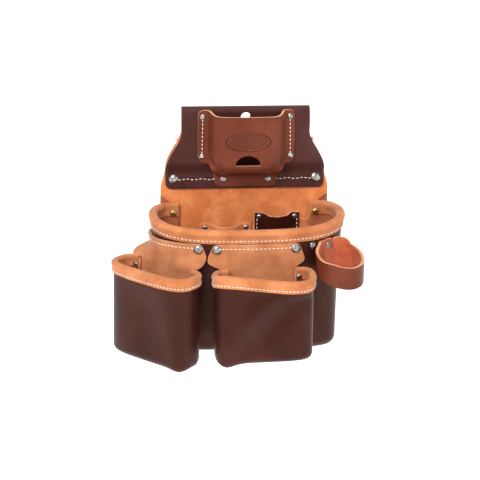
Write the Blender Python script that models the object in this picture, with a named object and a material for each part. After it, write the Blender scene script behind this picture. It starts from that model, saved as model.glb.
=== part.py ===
"""Leather tool pouch bag: a main bag with a belt tunnel, a tape holster, two hanging
pouches, a hammer loop and three inner pockets.  Metres, +Z up, front towards -Y.

The origin is on the flat back of the belt panel, half way down the belt tunnel.
Heights are written as drops: the distance below the belt panel's fold line."""
import math

import bmesh
import bpy
from mathutils import Matrix, Vector

# ---------------------------------------------------------------- driving dimensions
GAP = 0.0003                 # clearance between pieces that touch
ORIGIN_DROP = 0.050          # drop of the origin below the fold line
FOLD_RISE = 0.0029           # the fold's crest above the fold line

BACK_LEATHER = 0.0030        # outer back and belt flap
LINING_LEATHER = 0.0024
BAG_LEATHER = 0.0032         # main bag's moulded shell
POUCH_LEATHER = 0.0028       # hanging pouches' moulded shells
PANEL_LEATHER = 0.0026       # yokes and back panels of the pouches
HOLSTER_LEATHER = 0.0028
POCKET_LEATHER = 0.0022
STRAP_LEATHER = 0.0035       # hammer loop
BINDING_LEATHER = 0.0018     # soft strip rolled over every rim

PANEL_TOP_HALF = 0.079       # belt panel's half width at the fold
PANEL_FLARE_HALF = 0.099     # half width at the flap's lower edge
BACK_HALF = 0.105            # half width of the back behind the bag
FLAP_STRAIGHT_DROP = 0.026   # the sides run straight down to here, then flare
FLAP_FLARE_DROP = 0.075
FLAP_DROP = 0.1017            # flap's lower edge
TUNNEL_DEPTH = 0.0068        # room for the belt between lining and flap
PINCH_START_DROP = 0.066     # the flap leans back on to the lining between
PINCH_END_DROP = 0.083       # these two drops
FLAP_CORNER = 0.007
BACK_CORNER = 0.016
LINING_TOP_DROP = 0.038
LINING_TOP_HALF = 0.085
LINING_WAIST_HALF = 0.092    # half width inside the bag
LINING_WAIST_DROP = 0.123
LINING_FLARE_START = 0.045   # the lining's sides flare between these two drops
LINING_FLARE_END = 0.104
WAIST_START_DROP = 0.108     # and draw in from here to the waist
BACK_WIDEN_START = 0.075     # the back grows wider than the flap between these drops
BACK_WIDEN_END = 0.106
LINING_SHORT = 0.001         # the lining ends this much above the back's corners
HANG_HOLE_RADIUS = 0.0064
HANG_HOLE_DROP = 0.0098

BAG_HALF = 0.1175            # main bag, outside of the leather
BAG_FLOOR_HALF = 0.112
BAG_FRONT = 0.098            # depth of the mouth from the back's rear face
BAG_FLOOR_FRONT = 0.083
BAG_SIDE_DEPTH = 0.042       # where the sides are widest
BAG_RIM_DROP = 0.1285         # top of the rolled rim
BAG_RIM_RISE = 0.0095        # how far the rim rises from its front to its sides
BAG_FLOOR_DROP = 0.292
BAG_FLANGE_END = 0.083       # inner end of the turned-in sides
BAG_BEND = 0.022             # rear corners, across the bag
BAG_FILLET = 0.012
BAG_POWER = 2.4              # how square the front's curve is, at the mouth and floor
BAG_FLOOR_POWER = 4.0
BAG_BAND = 0.017             # height of the rim's binding
BAG_ROLL = 0.0054            # radius of its rolled edge

POUCH_HALF = 0.0600          # hanging pouches, outside of the leather
POUCH_FLOOR_HALF = 0.0595
POUCH_DEPTH = 0.046          # front of the pouch from its back panel
POUCH_SIDE_DEPTH = 0.019
POUCH_FLANGE_END = 0.041
POUCH_BEND = 0.011
POUCH_FILLET = 0.009
POUCH_POWER = 3.2            # how square the front's curve is, at the mouth and floor
POUCH_FLOOR_POWER = 4.0
POUCH_BAND = 0.0150
POUCH_ROLL = 0.0042
LEFT_FACING = math.radians(-43.0)
RIGHT_FACING = math.radians(3.0)
LEFT_RIM_DROP = 0.1715
RIGHT_RIM_DROP = 0.1745
LEFT_FLOOR_DROP = 0.289
RIGHT_FLOOR_DROP = 0.2835
LEFT_POUCH_SHIFT = 0.010     # pouch centre along its back from the yoke's centre
RIGHT_POUCH_SHIFT = 0.006
RIGHT_YOKE_X = 0.0065        # yoke centre across the bag
RIM_WAVE = 0.0055            # how far a pouch's front rim dips to one side

YOKE_TOP_HALF = 0.053        # yoke and back panel outline
YOKE_LOBE_HALF = 0.0585
YOKE_WAIST_HALF = 0.0445
YOKE_BACK_HALF = 0.0560
YOKE_LOBE_DROP = 0.167
YOKE_WAIST_DROP = 0.1785
YOKE_FULL_DROP = 0.191       # full pouch width again from here down
YOKE_RIVET_DROP = 0.1525
YOKE_RIVET_REACH = 0.0475    # along the leather from the yoke's centre
HINGE_DROP = 0.1590          # leather bends here, just below rivets and stitches
FREE_DROP = 0.1765            # below this the panel hangs flat, off the bag's curve

HOLSTER_HALF = 0.0595        # tape holster, across its two flanges
HOLSTER_BODY_HALF = 0.0460
HOLSTER_FRONT_HALF = 0.0345
HOLSTER_BULGE = 0.027        # inside depth for a tape measure
HOLSTER_LIP_DROP = 0.0030
HOLSTER_FLANGE_TOP = 0.0005
HOLSTER_FLANGE_DROP = 0.0655
HOLSTER_FLOOR_DROP = 0.0700
HOLSTER_WALL_END = 0.0560    # its walls run straight down to here
HOLSTER_SEAT_DROP = 0.0850   # and its tab lies flat on the flap from here
HOLSTER_TAB_HALF = 0.0385
HOLSTER_TAB_DROP = 0.0985
HOLSTER_TAB_CORNER = 0.006
HOLSTER_CENTRE_X = 0.0005
HOLSTER_CUT_HALF = 0.0155
HOLSTER_CUT_DROP = 0.0505
HOLSTER_CUT_HEIGHT = 0.0130

LOOP_CENTRE_X = 0.1075       # hammer loop's ring
LOOP_CENTRE_DEPTH = 0.104
LOOP_RADIUS = 0.0295
LOOP_TOP_DROP = 0.1572       # top edge at the ring's centre
LOOP_SLOPE_X = 0.186
LOOP_SLOPE_DEPTH = 0.30
LOOP_HEIGHT = 0.027
LOOP_SEAM_X = 0.1020         # where the strap's two ends meet on the bag
LOOP_TAB_HALF = 0.0185
LOOP_TAB_TOP_DROP = 0.1455
LOOP_RIVET_DROP = 0.1530
LOOP_RIVET_REACH = 0.0078
LOOP_HINGE_DROP = 0.1595
LOOP_CUT_MARGIN = 0.0065     # the moving strap clears its riveted ends by this much

BIG_RIVET = 0.0060           # cap radii
YOKE_RIVET = 0.0057
MID_RIVET = 0.0041
SMALL_RIVET = 0.0035
RIVET_SHANK = 0.0015
RIVET_SHANK_GAP = 0.0003
CURVE_ROOM = 0.0013          # a flat cap's room over leather that curves away

# ---------------------------------------------------------------- derived places
LINING_FACE = BACK_LEATHER + GAP + LINING_LEATHER      # depth of the lining's front
FLAP_NEAR = LINING_FACE + GAP                          # flap's rear face, pinched
FLAP_FAR = LINING_FACE + TUNNEL_DEPTH                  # flap's rear face, over the belt
BAG_REAR = LINING_FACE + BINDING_LEATHER + 3 * GAP     # turned-in sides' rear face
YOKE_TOP_DROP = BAG_RIM_DROP + BAG_BAND + 2 * GAP


def height(drop):
    """World height of a drop below the fold line."""
    return ORIGIN_DROP - drop


def smooth(value, start, end):
    """A ramp from 0 at start to 1 at end with level ends."""
    t = min(1.0, max(0.0, (value - start) / (end - start)))
    return t * t * (3.0 - 2.0 * t)


def mix(a, b, t):
    return a + (b - a) * t


# ---------------------------------------------------------------- scene and materials
for old in list(bpy.data.objects):
    bpy.data.objects.remove(old)


def material(name, colour, roughness, metallic=0.0):
    made = bpy.data.materials.new(name)
    made.use_nodes = True
    shader = made.node_tree.nodes["Principled BSDF"]
    shader.inputs["Base Color"].default_value = (*colour, 1.0)
    shader.inputs["Roughness"].default_value = roughness
    shader.inputs["Metallic"].default_value = metallic
    return made


DARK = material("dark_leather", (0.085, 0.028, 0.022), 0.45)
RUSSET = material("russet_leather", (0.20, 0.055, 0.028), 0.42)
SUEDE = material("tan_suede", (0.56, 0.24, 0.105), 0.85)
NICKEL = material("nickel", (0.56, 0.54, 0.51), 0.35, 1.0)
BRASS = material("brass", (0.62, 0.42, 0.16), 0.35, 1.0)


def add_object(name, mesh, surface, parent=None):
    """Link a mesh under its node name; a moving piece hangs on its joint's empty."""
    made = bpy.data.objects.new(name, mesh)
    bpy.context.collection.objects.link(made)
    mesh.materials.append(surface)
    if parent is not None:
        made.parent = parent
        made.matrix_parent_inverse = parent.matrix_world.inverted()
    return made


def grid_mesh(name, rows, skip=None):
    """A sheet from rows of points; skip(row, column) leaves a cell open."""
    work = bmesh.new()
    verts = [[work.verts.new(point) for point in row] for row in rows]
    for r in range(len(rows) - 1):
        for c in range(len(rows[0]) - 1):
            if skip is not None and skip(r, c):
                continue
            corners = (verts[r][c], verts[r + 1][c], verts[r + 1][c + 1], verts[r][c + 1])
            work.faces.new(corners)
    loose = [vert for vert in work.verts if not vert.link_faces]
    bmesh.ops.delete(work, geom=loose, context="VERTS")
    mesh = bpy.data.meshes.new(name)
    work.to_mesh(mesh)
    work.free()
    mesh.shade_smooth()
    return mesh


def sheet(name, rows, thickness, surface, skip=None, parent=None, even=True):
    """A leather sheet: the grid is its outer face, solidified away from its normals."""
    made = add_object(name, grid_mesh(name, rows, skip), surface, parent)
    solid = made.modifiers.new("thickness", "SOLIDIFY")
    solid.thickness = thickness
    solid.offset = -1.0
    solid.use_even_offset = even
    solid.use_rim = True
    return made


def axis_empty(name, location, facing):
    """Stands on a joint's axis, X along the axis and Y to the rear."""
    empty = bpy.data.objects.new(name, None)
    empty.matrix_world = Matrix.Translation(location) @ Matrix.Rotation(facing, 4, "Z")
    bpy.context.collection.objects.link(empty)
    return empty


# ---------------------------------------------------------------- moulded cups
def resample(points, count):
    """The given number of points, evenly spaced along a polyline in a plane."""
    lengths = [0.0]
    for a, b in zip(points, points[1:]):
        lengths.append(lengths[-1] + math.dist(a, b))
    result = []
    index = 0
    for step in range(count):
        goal = lengths[-1] * step / (count - 1)
        while index < len(points) - 2 and lengths[index + 1] < goal:
            index += 1
        span = lengths[index + 1] - lengths[index]
        t = (goal - lengths[index]) / span
        result.append(tuple(mix(a, b, t) for a, b in zip(points[index], points[index + 1])))
    return result


def cup_plan(half, rear, side, front, flange_end, bend, power, count):
    """A cup's outline from above, as (across, depth) points from its left flange's end
    round the front to its right flange's end."""
    left = [(-flange_end, rear), (-(half - bend), rear)]
    for step in range(1, 9):
        angle = math.pi / 2 * step / 8
        left.append((-(half - bend) - bend * math.sin(angle),
                     side - (side - rear) * math.cos(angle)))
    for step in range(1, 25):
        angle = math.pi / 2 * step / 24
        left.append((-half * math.cos(angle) ** (2 / power),
                     side + (front - side) * math.sin(angle) ** (2 / power)))
    right = [(-u, w) for u, w in reversed(left[:-1])]
    return resample(left + right, count)


def cup_rows(spec):
    """Rows of (across, depth, drop) points down a cup's wall, round its fillet and back
    over its floor, and the first column that has a floor."""
    count = spec["columns"]
    rear = spec["rear"]
    rows = []
    wall_end = spec["floor_drop"] - spec["fillet"]
    top = cup_plan(spec["half"], rear, spec["side"], spec["front"],
                   spec["flange_end"], spec["bend"], spec["power"], count)
    bottom = cup_plan(spec["floor_half"], rear, spec["side"], spec["floor_front"],
                      spec["flange_end"], spec["bend"], spec["floor_power"], count)
    rows.append([(u, w, spec["rim"](u, w) + spec["edge_below_rim"]) for u, w in top])
    for step in range(spec["wall_rows"]):
        t = step / (spec["wall_rows"] - 1)
        row = []
        for (u0, w0), (u1, w1) in zip(top, bottom):
            under_band = spec["rim"](u0, w0) + spec["band"] + 0.001
            row.append((mix(u0, u1, t), mix(w0, w1, t), mix(under_band, wall_end, t)))
        rows.append(row)
    normals = []
    for index, (u, w) in enumerate(bottom):
        before = bottom[max(0, index - 1)]
        after = bottom[min(count - 1, index + 1)]
        along = Vector((after[0] - before[0], after[1] - before[1])).normalized()
        normals.append(Vector((along.y, -along.x)))
    for step in (1, 2, 3):
        angle = math.pi / 2 * step / 3
        inset = spec["fillet"] * (1 - math.cos(angle))
        drop = wall_end + spec["fillet"] * math.sin(angle)
        rows.append([(u + n.x * inset, w + n.y * inset, drop)
                     for (u, w), n in zip(bottom, normals)])
    first = next(i for i, (u, w) in enumerate(bottom) if w > rear + spec["fillet"])
    edge = rows[-1]
    reach = edge[first][0]
    for t in (0.5, 1.0):
        row = []
        for index, (u, w, drop) in enumerate(edge):
            share = (index - first) / (count - 1 - 2 * first)
            row.append((mix(u, mix(reach, -reach, share), t), mix(w, rear, t), drop))
        rows.append(row)
    return rows, first


def rim_line(spec):
    """Middle of the leather along the rim, with its outward direction in plan."""
    plan = cup_plan(spec["half"], spec["rear"], spec["side"], spec["front"],
                    spec["flange_end"], spec["bend"], spec["power"], spec["columns"])
    line = []
    for index, (u, w) in enumerate(plan):
        before = plan[max(0, index - 1)]
        after = plan[min(len(plan) - 1, index + 1)]
        along = Vector((after[0] - before[0], after[1] - before[1])).normalized()
        out = Vector((-along.y, along.x))
        half = spec["leather"] / 2
        line.append((u - out.x * half, w - out.y * half, spec["rim"](u, w), out))
    return line


def binding_rows(spec):
    """Sections of the rolled binding: a roll over the edge and a flange down each side."""
    rows = []
    slot = spec["leather"] / 2 + GAP
    thin = slot + BINDING_LEATHER
    for u, w, drop, out in rim_line(spec):
        room = w - spec["rear"] - spec["leather"] / 2 + thin
        radius = max(thin + 0.00005, min(spec["roll"], room))
        angle = math.asin(min(1.0, thin / radius))
        arc = []
        for step in range(7):
            turn = mix(math.pi - angle, -(math.pi - angle), step / 6)
            arc.append((radius * math.sin(turn), radius - radius * math.cos(turn)))
        section = [(slot, spec["band"]), (thin, spec["band"])] + arc
        section += [(-thin, spec["band"]), (-slot, spec["band"]),
                    (-slot, spec["edge_below_rim"] - GAP),
                    (slot, spec["edge_below_rim"] - GAP)]
        rows.append([(u + out.x * s, w + out.y * s, drop + d) for s, d in section])
    return rows


def tube_mesh(name, rows):
    """A closed body from closed sections, capped at both ends."""
    work = bmesh.new()
    rings = [[work.verts.new(point) for point in row] for row in rows]
    size = len(rows[0])
    for first, second in zip(rings, rings[1:]):
        for i in range(size):
            j = (i + 1) % size
            work.faces.new((first[i], first[j], second[j], second[i]))
    work.faces.new(list(reversed(rings[0])))
    work.faces.new(rings[-1])
    bmesh.ops.recalc_face_normals(work, faces=work.faces[:])
    mesh = bpy.data.meshes.new(name)
    work.to_mesh(mesh)
    work.free()
    mesh.shade_smooth()
    mesh.set_sharp_from_angle(angle=math.radians(40))
    return mesh


# ---------------------------------------------------------------- frames of the cups
class Frame:
    """A cup's own frame: across its back, out from its back, and the drop."""

    def __init__(self, origin, facing):
        self.origin = Vector(origin)
        self.across = Vector((math.cos(facing), math.sin(facing)))
        self.out = Vector((math.sin(facing), -math.cos(facing)))
        self.facing = facing

    def point(self, u, w, drop):
        flat = self.origin + self.across * u + self.out * w
        return Vector((flat.x, flat.y, height(drop)))


def bag_outline(count=241):
    """The main bag's outer outline at its mouth, in world X and Y."""
    plan = cup_plan(BAG_HALF, BAG_REAR, BAG_SIDE_DEPTH, BAG_FRONT, BAG_FLANGE_END,
                    BAG_BEND, BAG_POWER, count)
    return [Vector((u, -w)) for u, w in plan]


OUTLINE = bag_outline()


def bag_contact(facing):
    """Index of the outline's point that lies furthest along a facing direction."""
    out = Vector((math.sin(facing), -math.cos(facing)))
    return max(range(len(OUTLINE)), key=lambda i: OUTLINE[i].dot(out))


def outline_normal(index):
    along = OUTLINE[min(len(OUTLINE) - 1, index + 2)] - OUTLINE[max(0, index - 2)]
    along.normalize()
    return Vector((along.y, -along.x))


def along_outline(index, reach):
    """Point and outward normal on the outline, a reach along it from an index."""
    step = 1 if reach >= 0 else -1
    left = abs(reach)
    here = OUTLINE[index]
    while 0 < index < len(OUTLINE) - 1:
        following = OUTLINE[index + step]
        span = (following - here).length
        if span >= left:
            point = here.lerp(following, left / span)
            return point, outline_normal(index)
        left -= span
        index += step
        here = following
    return here, outline_normal(index)


def bag_rim(u, w):
    """Drop of the main rim's top: lowest in front, higher at its sides and ends."""
    return BAG_RIM_DROP - BAG_RIM_RISE * (1 - smooth(w, BAG_SIDE_DEPTH, BAG_FRONT))


def pouch_rim(base, lean):
    """A pouch's rim dips to one side across its front."""
    def drop(u, w):
        share = smooth(w, POUCH_SIDE_DEPTH, POUCH_DEPTH)
        return base + lean * RIM_WAVE * math.sin(u / POUCH_HALF * math.pi / 2) * share
    return drop


BAG = {
    "half": BAG_HALF, "floor_half": BAG_FLOOR_HALF, "rear": BAG_REAR,
    "side": BAG_SIDE_DEPTH, "front": BAG_FRONT, "floor_front": BAG_FLOOR_FRONT,
    "flange_end": BAG_FLANGE_END, "bend": BAG_BEND, "power": BAG_POWER,
    "floor_power": BAG_FLOOR_POWER,
    "leather": BAG_LEATHER, "rim": bag_rim, "floor_drop": BAG_FLOOR_DROP,
    "fillet": BAG_FILLET, "columns": 34, "wall_rows": 4, "edge_below_rim": 0.0046,
    "roll": BAG_ROLL, "band": BAG_BAND,
}


def pouch_spec(rim_drop, floor_drop, lean):
    return {
        "half": POUCH_HALF, "floor_half": POUCH_FLOOR_HALF,
        "rear": BINDING_LEATHER + 3 * GAP, "side": POUCH_SIDE_DEPTH,
        "front": POUCH_DEPTH, "floor_front": POUCH_DEPTH,
        "flange_end": POUCH_FLANGE_END, "bend": POUCH_BEND, "power": POUCH_POWER,
        "floor_power": POUCH_FLOOR_POWER,
        "leather": POUCH_LEATHER, "rim": pouch_rim(rim_drop, lean),
        "floor_drop": floor_drop, "fillet": POUCH_FILLET, "columns": 30,
        "wall_rows": 3, "edge_below_rim": 0.0036, "roll": POUCH_ROLL, "band": POUCH_BAND,
    }


def build_cup(shell_name, binding_name, spec, frame, surface, parent=None):
    rows, first = cup_rows(spec)
    wall = spec["wall_rows"]
    last = spec["columns"] - 1 - first

    def open_cell(row, column):
        return row >= wall and not first <= column < last

    points = [[frame.point(*place) for place in row] for row in rows]
    sheet(shell_name, points, spec["leather"], surface, open_cell, parent,
          even=False)
    sections = [[frame.point(*place) for place in row] for row in binding_rows(spec)]
    add_object(binding_name, tube_mesh(binding_name, sections), SUEDE, parent)


bag_frame = Frame((0.0, 0.0), 0.0)
build_cup("main_shell", "main_binding", BAG, bag_frame, DARK)


# ---------------------------------------------------------------- belt panel and lining
def half_width_of_panel(drop):
    """The panel's half width: straight at the top, then flaring down."""
    flare = smooth(drop, FLAP_STRAIGHT_DROP, FLAP_FLARE_DROP)
    return mix(PANEL_TOP_HALF, PANEL_FLARE_HALF, flare)


def corner_cut(drop, bottom, radius):
    """How far a rounded bottom corner pulls the side in at a drop."""
    below = max(0.0, drop - (bottom - radius))
    return radius - math.sqrt(max(0.0, radius * radius - below * below))


def panel_rows():
    """From the back's bottom edge up, over the fold and down the flap."""
    places = []
    for step in range(5):
        drop = BAG_FLOOR_DROP - BACK_CORNER * (1 - math.sin(math.pi / 8 * (4 - step)))
        places.append((0.0, drop, BACK_HALF - corner_cut(drop, BAG_FLOOR_DROP, BACK_CORNER)))
    places.sort(key=lambda place: -place[1])
    for step in range(9):
        drop = mix(LINING_WAIST_DROP, FLAP_STRAIGHT_DROP, step / 8)
        widen = (BACK_HALF - PANEL_FLARE_HALF) * smooth(drop, BACK_WIDEN_START, BACK_WIDEN_END)
        places.append((0.0, drop, half_width_of_panel(drop) + widen))
    depth = FLAP_FAR + BACK_LEATHER
    crest = -FOLD_RISE + depth / 2
    for step in range(9):
        angle = math.pi * step / 8
        places.append((depth / 2 * (1 - math.cos(angle)),
                       crest - depth / 2 * math.sin(angle), PANEL_TOP_HALF))
    for step in range(4):
        drop = mix(FLAP_STRAIGHT_DROP, PINCH_START_DROP, step / 4)
        places.append((depth, drop, half_width_of_panel(drop)))
    for step in range(4):
        drop = mix(PINCH_START_DROP, PINCH_END_DROP, step / 3)
        lean = smooth(drop, PINCH_START_DROP, PINCH_END_DROP)
        places.append((mix(depth, FLAP_NEAR + BACK_LEATHER, lean), drop,
                       half_width_of_panel(drop)))
    for step in range(5):
        drop = FLAP_DROP - FLAP_CORNER * (1 - math.sin(math.pi / 8 * step))
        places.append((FLAP_NEAR + BACK_LEATHER, drop,
                       half_width_of_panel(drop) - corner_cut(drop, FLAP_DROP, FLAP_CORNER)))
    return [[Vector((side * half, -depth_here, height(drop))) for side in (-1, 1)]
            for depth_here, drop, half in places]


sheet("belt_panel", panel_rows(), BACK_LEATHER, DARK)


def lining_half(drop):
    """Flares with the panel, then curves in behind the bag's turned-in sides."""
    flared = mix(LINING_TOP_HALF, BACK_HALF, smooth(drop, LINING_FLARE_START, LINING_FLARE_END))
    return mix(flared, LINING_WAIST_HALF, smooth(drop, WAIST_START_DROP, LINING_WAIST_DROP))


lining_drops = [mix(LINING_TOP_DROP, LINING_FLARE_END, step / 5) for step in range(6)]
lining_drops += [mix(WAIST_START_DROP, LINING_WAIST_DROP, step / 3) for step in range(4)]
lining_drops.append(BAG_FLOOR_DROP - BACK_CORNER - LINING_SHORT)
lining_depth = BACK_LEATHER + GAP + LINING_LEATHER
sheet("back_lining", [[Vector((side * lining_half(drop), -lining_depth, height(drop)))
                       for side in (-1, 1)] for drop in lining_drops], LINING_LEATHER, SUEDE)


# ---------------------------------------------------------------- hanging pouches
def yoke_half(drop):
    """Half width of the yoke and back panel, from lobe to waist to full width."""
    if drop < YOKE_LOBE_DROP:
        return mix(YOKE_TOP_HALF, YOKE_LOBE_HALF, smooth(drop, YOKE_TOP_DROP, YOKE_LOBE_DROP))
    if drop < YOKE_WAIST_DROP:
        return mix(YOKE_LOBE_HALF, YOKE_WAIST_HALF,
                   smooth(drop, YOKE_LOBE_DROP, YOKE_WAIST_DROP))
    return mix(YOKE_WAIST_HALF, YOKE_BACK_HALF, smooth(drop, YOKE_WAIST_DROP, YOKE_FULL_DROP))


def yoke_point(contact, frame, u, drop):
    """A point of the yoke's outer face: on the bag's curve at the top, flat lower down."""
    offset = GAP + PANEL_LEATHER
    curved, normal = along_outline(contact, u)
    wrapped = curved + normal * offset
    flat = OUTLINE[contact] + frame.across * u + frame.out * offset
    free = smooth(drop, HINGE_DROP, FREE_DROP)
    place = wrapped.lerp(flat, free)
    return Vector((place.x, place.y, height(drop)))


def yoke_rows(contact, frame, drops, bottom, corner, shift=0.0):
    """Rows across the yoke; lower down it moves over to its pouch's centre."""
    rows = []
    for drop in drops:
        half = yoke_half(drop) - corner_cut(drop, bottom, corner)
        half -= corner_cut(-drop, -YOKE_TOP_DROP, YOKE_TOP_CORNER)
        centre = shift * smooth(drop, YOKE_LOBE_DROP, YOKE_FULL_DROP)
        rows.append([yoke_point(contact, frame, centre + half * (step - 5) / 5, drop)
                     for step in range(11)])
    return rows


YOKE_TOP_CORNER = 0.006
YOKE_BOTTOM_CORNER = 0.010


def build_pouch(side, facing, contact, shift, rim_drop, floor_drop, lean):
    """A yoke strip riveted to the bag and, below the leather's bend, the pouch."""
    frame = Frame(OUTLINE[contact], facing)
    top = [YOKE_TOP_DROP, YOKE_TOP_DROP + 0.0018, YOKE_TOP_DROP + YOKE_TOP_CORNER,
           HINGE_DROP - GAP]
    sheet(f"{side}_yoke_strip",
          yoke_rows(contact, frame, top, floor_drop, YOKE_BOTTOM_CORNER), PANEL_LEATHER, SUEDE)
    hinge = OUTLINE[contact] + frame.out * (GAP + PANEL_LEATHER)
    empty = axis_empty(f"{side}_pouch_axis", (hinge.x, hinge.y, height(HINGE_DROP)), facing)
    lower = [HINGE_DROP, mix(HINGE_DROP, YOKE_LOBE_DROP, 0.5)]
    lower += [mix(YOKE_LOBE_DROP, YOKE_WAIST_DROP, step / 3) for step in range(3)]
    lower += [YOKE_WAIST_DROP, mix(YOKE_WAIST_DROP, YOKE_FULL_DROP, 0.4), YOKE_FULL_DROP,
              floor_drop - YOKE_BOTTOM_CORNER, floor_drop - YOKE_BOTTOM_CORNER * 0.3, floor_drop]
    sheet(f"{side}_back_panel", yoke_rows(contact, frame, lower, floor_drop,
                                          YOKE_BOTTOM_CORNER, shift),
          PANEL_LEATHER, SUEDE, parent=empty)
    pouch_origin = hinge + frame.across * shift
    pouch_frame = Frame(pouch_origin, facing)
    spec = pouch_spec(rim_drop, floor_drop, lean)
    build_cup(f"{side}_shell", f"{side}_binding", spec, pouch_frame, DARK, empty)
    return frame, pouch_frame, empty, spec


left_contact = bag_contact(LEFT_FACING)
right_contact = min(range(len(OUTLINE) // 4, len(OUTLINE) * 3 // 4),
                    key=lambda i: abs(OUTLINE[i].x - RIGHT_YOKE_X))
left_yoke, left_pouch, left_axis, left_spec = build_pouch(
    "left", LEFT_FACING, left_contact, LEFT_POUCH_SHIFT, LEFT_RIM_DROP, LEFT_FLOOR_DROP, 0.1)
right_yoke, right_pouch, right_axis, right_spec = build_pouch(
    "right", RIGHT_FACING, right_contact, RIGHT_POUCH_SHIFT, RIGHT_RIM_DROP,
    RIGHT_FLOOR_DROP, 1.0)


# ---------------------------------------------------------------- tape holster
def holster_section(rise, share):
    """Across the holster at one drop, as (across, forward): flange, side and front, which
    flatten into the tab as the share grows to 1."""
    side = HOLSTER_BODY_HALF
    front = HOLSTER_FRONT_HALF
    body = [(side + 0.0005, 0.0030), (mix(side, front, 0.4), rise * 0.55),
            (mix(side, front, 0.75), rise * 0.88), (front - 0.003, rise * 0.985),
            (front * 0.45, rise)]
    half = [(HOLSTER_HALF, 0.0), (side + 0.004, 0.0)]
    for index, (across, forward) in enumerate(body):
        even = HOLSTER_TAB_HALF * (1 - index / len(body))
        half.append((mix(across, even, share), mix(forward, rise, share)))
    left = [(-across, forward) for across, forward in half]
    return left + [(0.0, rise)] + list(reversed(half))


def holster_rows():
    flap_outer = FLAP_FAR + BACK_LEATHER + GAP
    tab_outer = FLAP_NEAR + BACK_LEATHER + GAP
    rows = []
    stations = [(mix(HOLSTER_LIP_DROP, HOLSTER_WALL_END, step / 3), 1.0, 0.0)
                for step in range(4)]
    stations += [(HOLSTER_FLANGE_DROP, 0.97, 0.25), (HOLSTER_FLOOR_DROP, 0.90, 0.45)]
    for t, swell, share in ((0.27, 0.70, 0.7), (0.50, 0.40, 0.9), (0.80, 0.15, 1.0)):
        stations.append((mix(HOLSTER_FLOOR_DROP, HOLSTER_SEAT_DROP, t), swell, share))
    stations += [(HOLSTER_SEAT_DROP, 0.0, 1.0),
                 (HOLSTER_TAB_DROP - HOLSTER_TAB_CORNER, 0.0, 1.0),
                 (HOLSTER_TAB_DROP, 0.0, 1.0)]
    for drop, swell, share in stations:
        base = mix(flap_outer, tab_outer, smooth(drop, HOLSTER_FLOOR_DROP, HOLSTER_SEAT_DROP))
        row = []
        half = 1 - corner_cut(drop, HOLSTER_TAB_DROP, HOLSTER_TAB_CORNER) / HOLSTER_TAB_HALF
        for u, w in holster_section(HOLSTER_BULGE * swell, share):
            across = u * half
            depth = base + HOLSTER_LEATHER + w
            row.append(Vector((HOLSTER_CENTRE_X + across, -depth, height(drop))))
        rows.append(row)
    return rows


def holster_open(row, column):
    """The flanges end above the floor."""
    return row >= 4 and not 2 <= column < 12


sheet("tape_holster", holster_rows(), HOLSTER_LEATHER, RUSSET, holster_open, even=False)


# ---------------------------------------------------------------- inner pockets
def pocket(name, left, right, top, bottom, bulge, dip, surface):
    """A patch on the lining, open at its top: left, right across the bag, drops, and
    how far its mouth stands off and dips between its rivets."""
    near = LINING_FACE + GAP + POCKET_LEATHER
    rows = []
    for step in range(6):
        t = step / 5
        row = []
        for part in range(11):
            across = part / 10
            arch = smooth(min(across, 1 - across), 0.2, 0.5)
            sag = dip * math.sin(math.pi * across) ** 2 * (1 - t)
            depth = near + bulge * arch * math.cos(math.pi / 2 * t ** 1.5)
            row.append(Vector((mix(left, right, across), -depth,
                               height(mix(top, bottom, t) + sag))))
        rows.append(row)
    sheet(name, rows, POCKET_LEATHER, surface)


POCKET_FLOOR_DROP = 0.262
TAN_POCKET = (-0.056, 0.009)
DARK_POCKET = (0.0125, 0.0700)
POCKET_EDGE = 0.0065         # from a pocket's side to its rivet
SMALL_POCKET = (0.0712, 0.0822)
SMALL_POCKET_DROP = 0.1435
SMALL_POCKET_FLOOR = 0.2100
TAN_POCKET_DROP = 0.1468
DARK_POCKET_DROP = 0.1333
POCKET_RIVET_DEPTH = 0.0065  # from a pocket's top edge to its rivet
pocket("inner_pocket_tan", *TAN_POCKET, TAN_POCKET_DROP, POCKET_FLOOR_DROP, 0.012, 0.005,
       SUEDE)
pocket("inner_pocket_small", *SMALL_POCKET, SMALL_POCKET_DROP, SMALL_POCKET_FLOOR, 0.0016,
       0.001, SUEDE)
pocket("inner_pocket_dark", *DARK_POCKET, DARK_POCKET_DROP, POCKET_FLOOR_DROP, 0.014, 0.004,
       DARK)


# ---------------------------------------------------------------- hammer loop
front_right = [i for i, spot in enumerate(OUTLINE) if spot.x > 0 and -spot.y > BAG_SIDE_DEPTH]
SEAM_INDEX = min(front_right, key=lambda i: abs(OUTLINE[i].x - LOOP_SEAM_X))
SEAM_NORMAL = outline_normal(SEAM_INDEX)
SEAM_FACING = math.atan2(SEAM_NORMAL.x, -SEAM_NORMAL.y)
LOOP_CENTRE = Vector((LOOP_CENTRE_X, -LOOP_CENTRE_DEPTH))


def ring_path(count=37):
    """Outer face of the strap from its left end round the front to its right end,
    pressed flat where it lies on the bag, as points with outward normals."""
    spots = []
    rear = -SEAM_NORMAL
    start = math.atan2(rear.y, rear.x)
    clear = GAP
    for step in range(241):
        angle = start + 2 * math.pi * step / 240
        spot = LOOP_CENTRE + Vector((math.cos(angle), math.sin(angle))) * LOOP_RADIUS
        nearest = min(range(len(OUTLINE)), key=lambda i: (OUTLINE[i] - spot).length)
        normal = outline_normal(nearest)
        outside = (spot - OUTLINE[nearest]).dot(normal)
        if outside < clear:
            spot = spot + normal * (clear - outside)
        spots.append((spot.x, spot.y))
    return [Vector(spot) for spot in resample(spots, count)]


def loop_top(place):
    """Drop of the strap's top edge: the ring leans forward and to the right."""
    return (LOOP_TOP_DROP + LOOP_SLOPE_X * (place.x - LOOP_CENTRE.x)
            + LOOP_SLOPE_DEPTH * (-place.y - LOOP_CENTRE_DEPTH))


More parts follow.
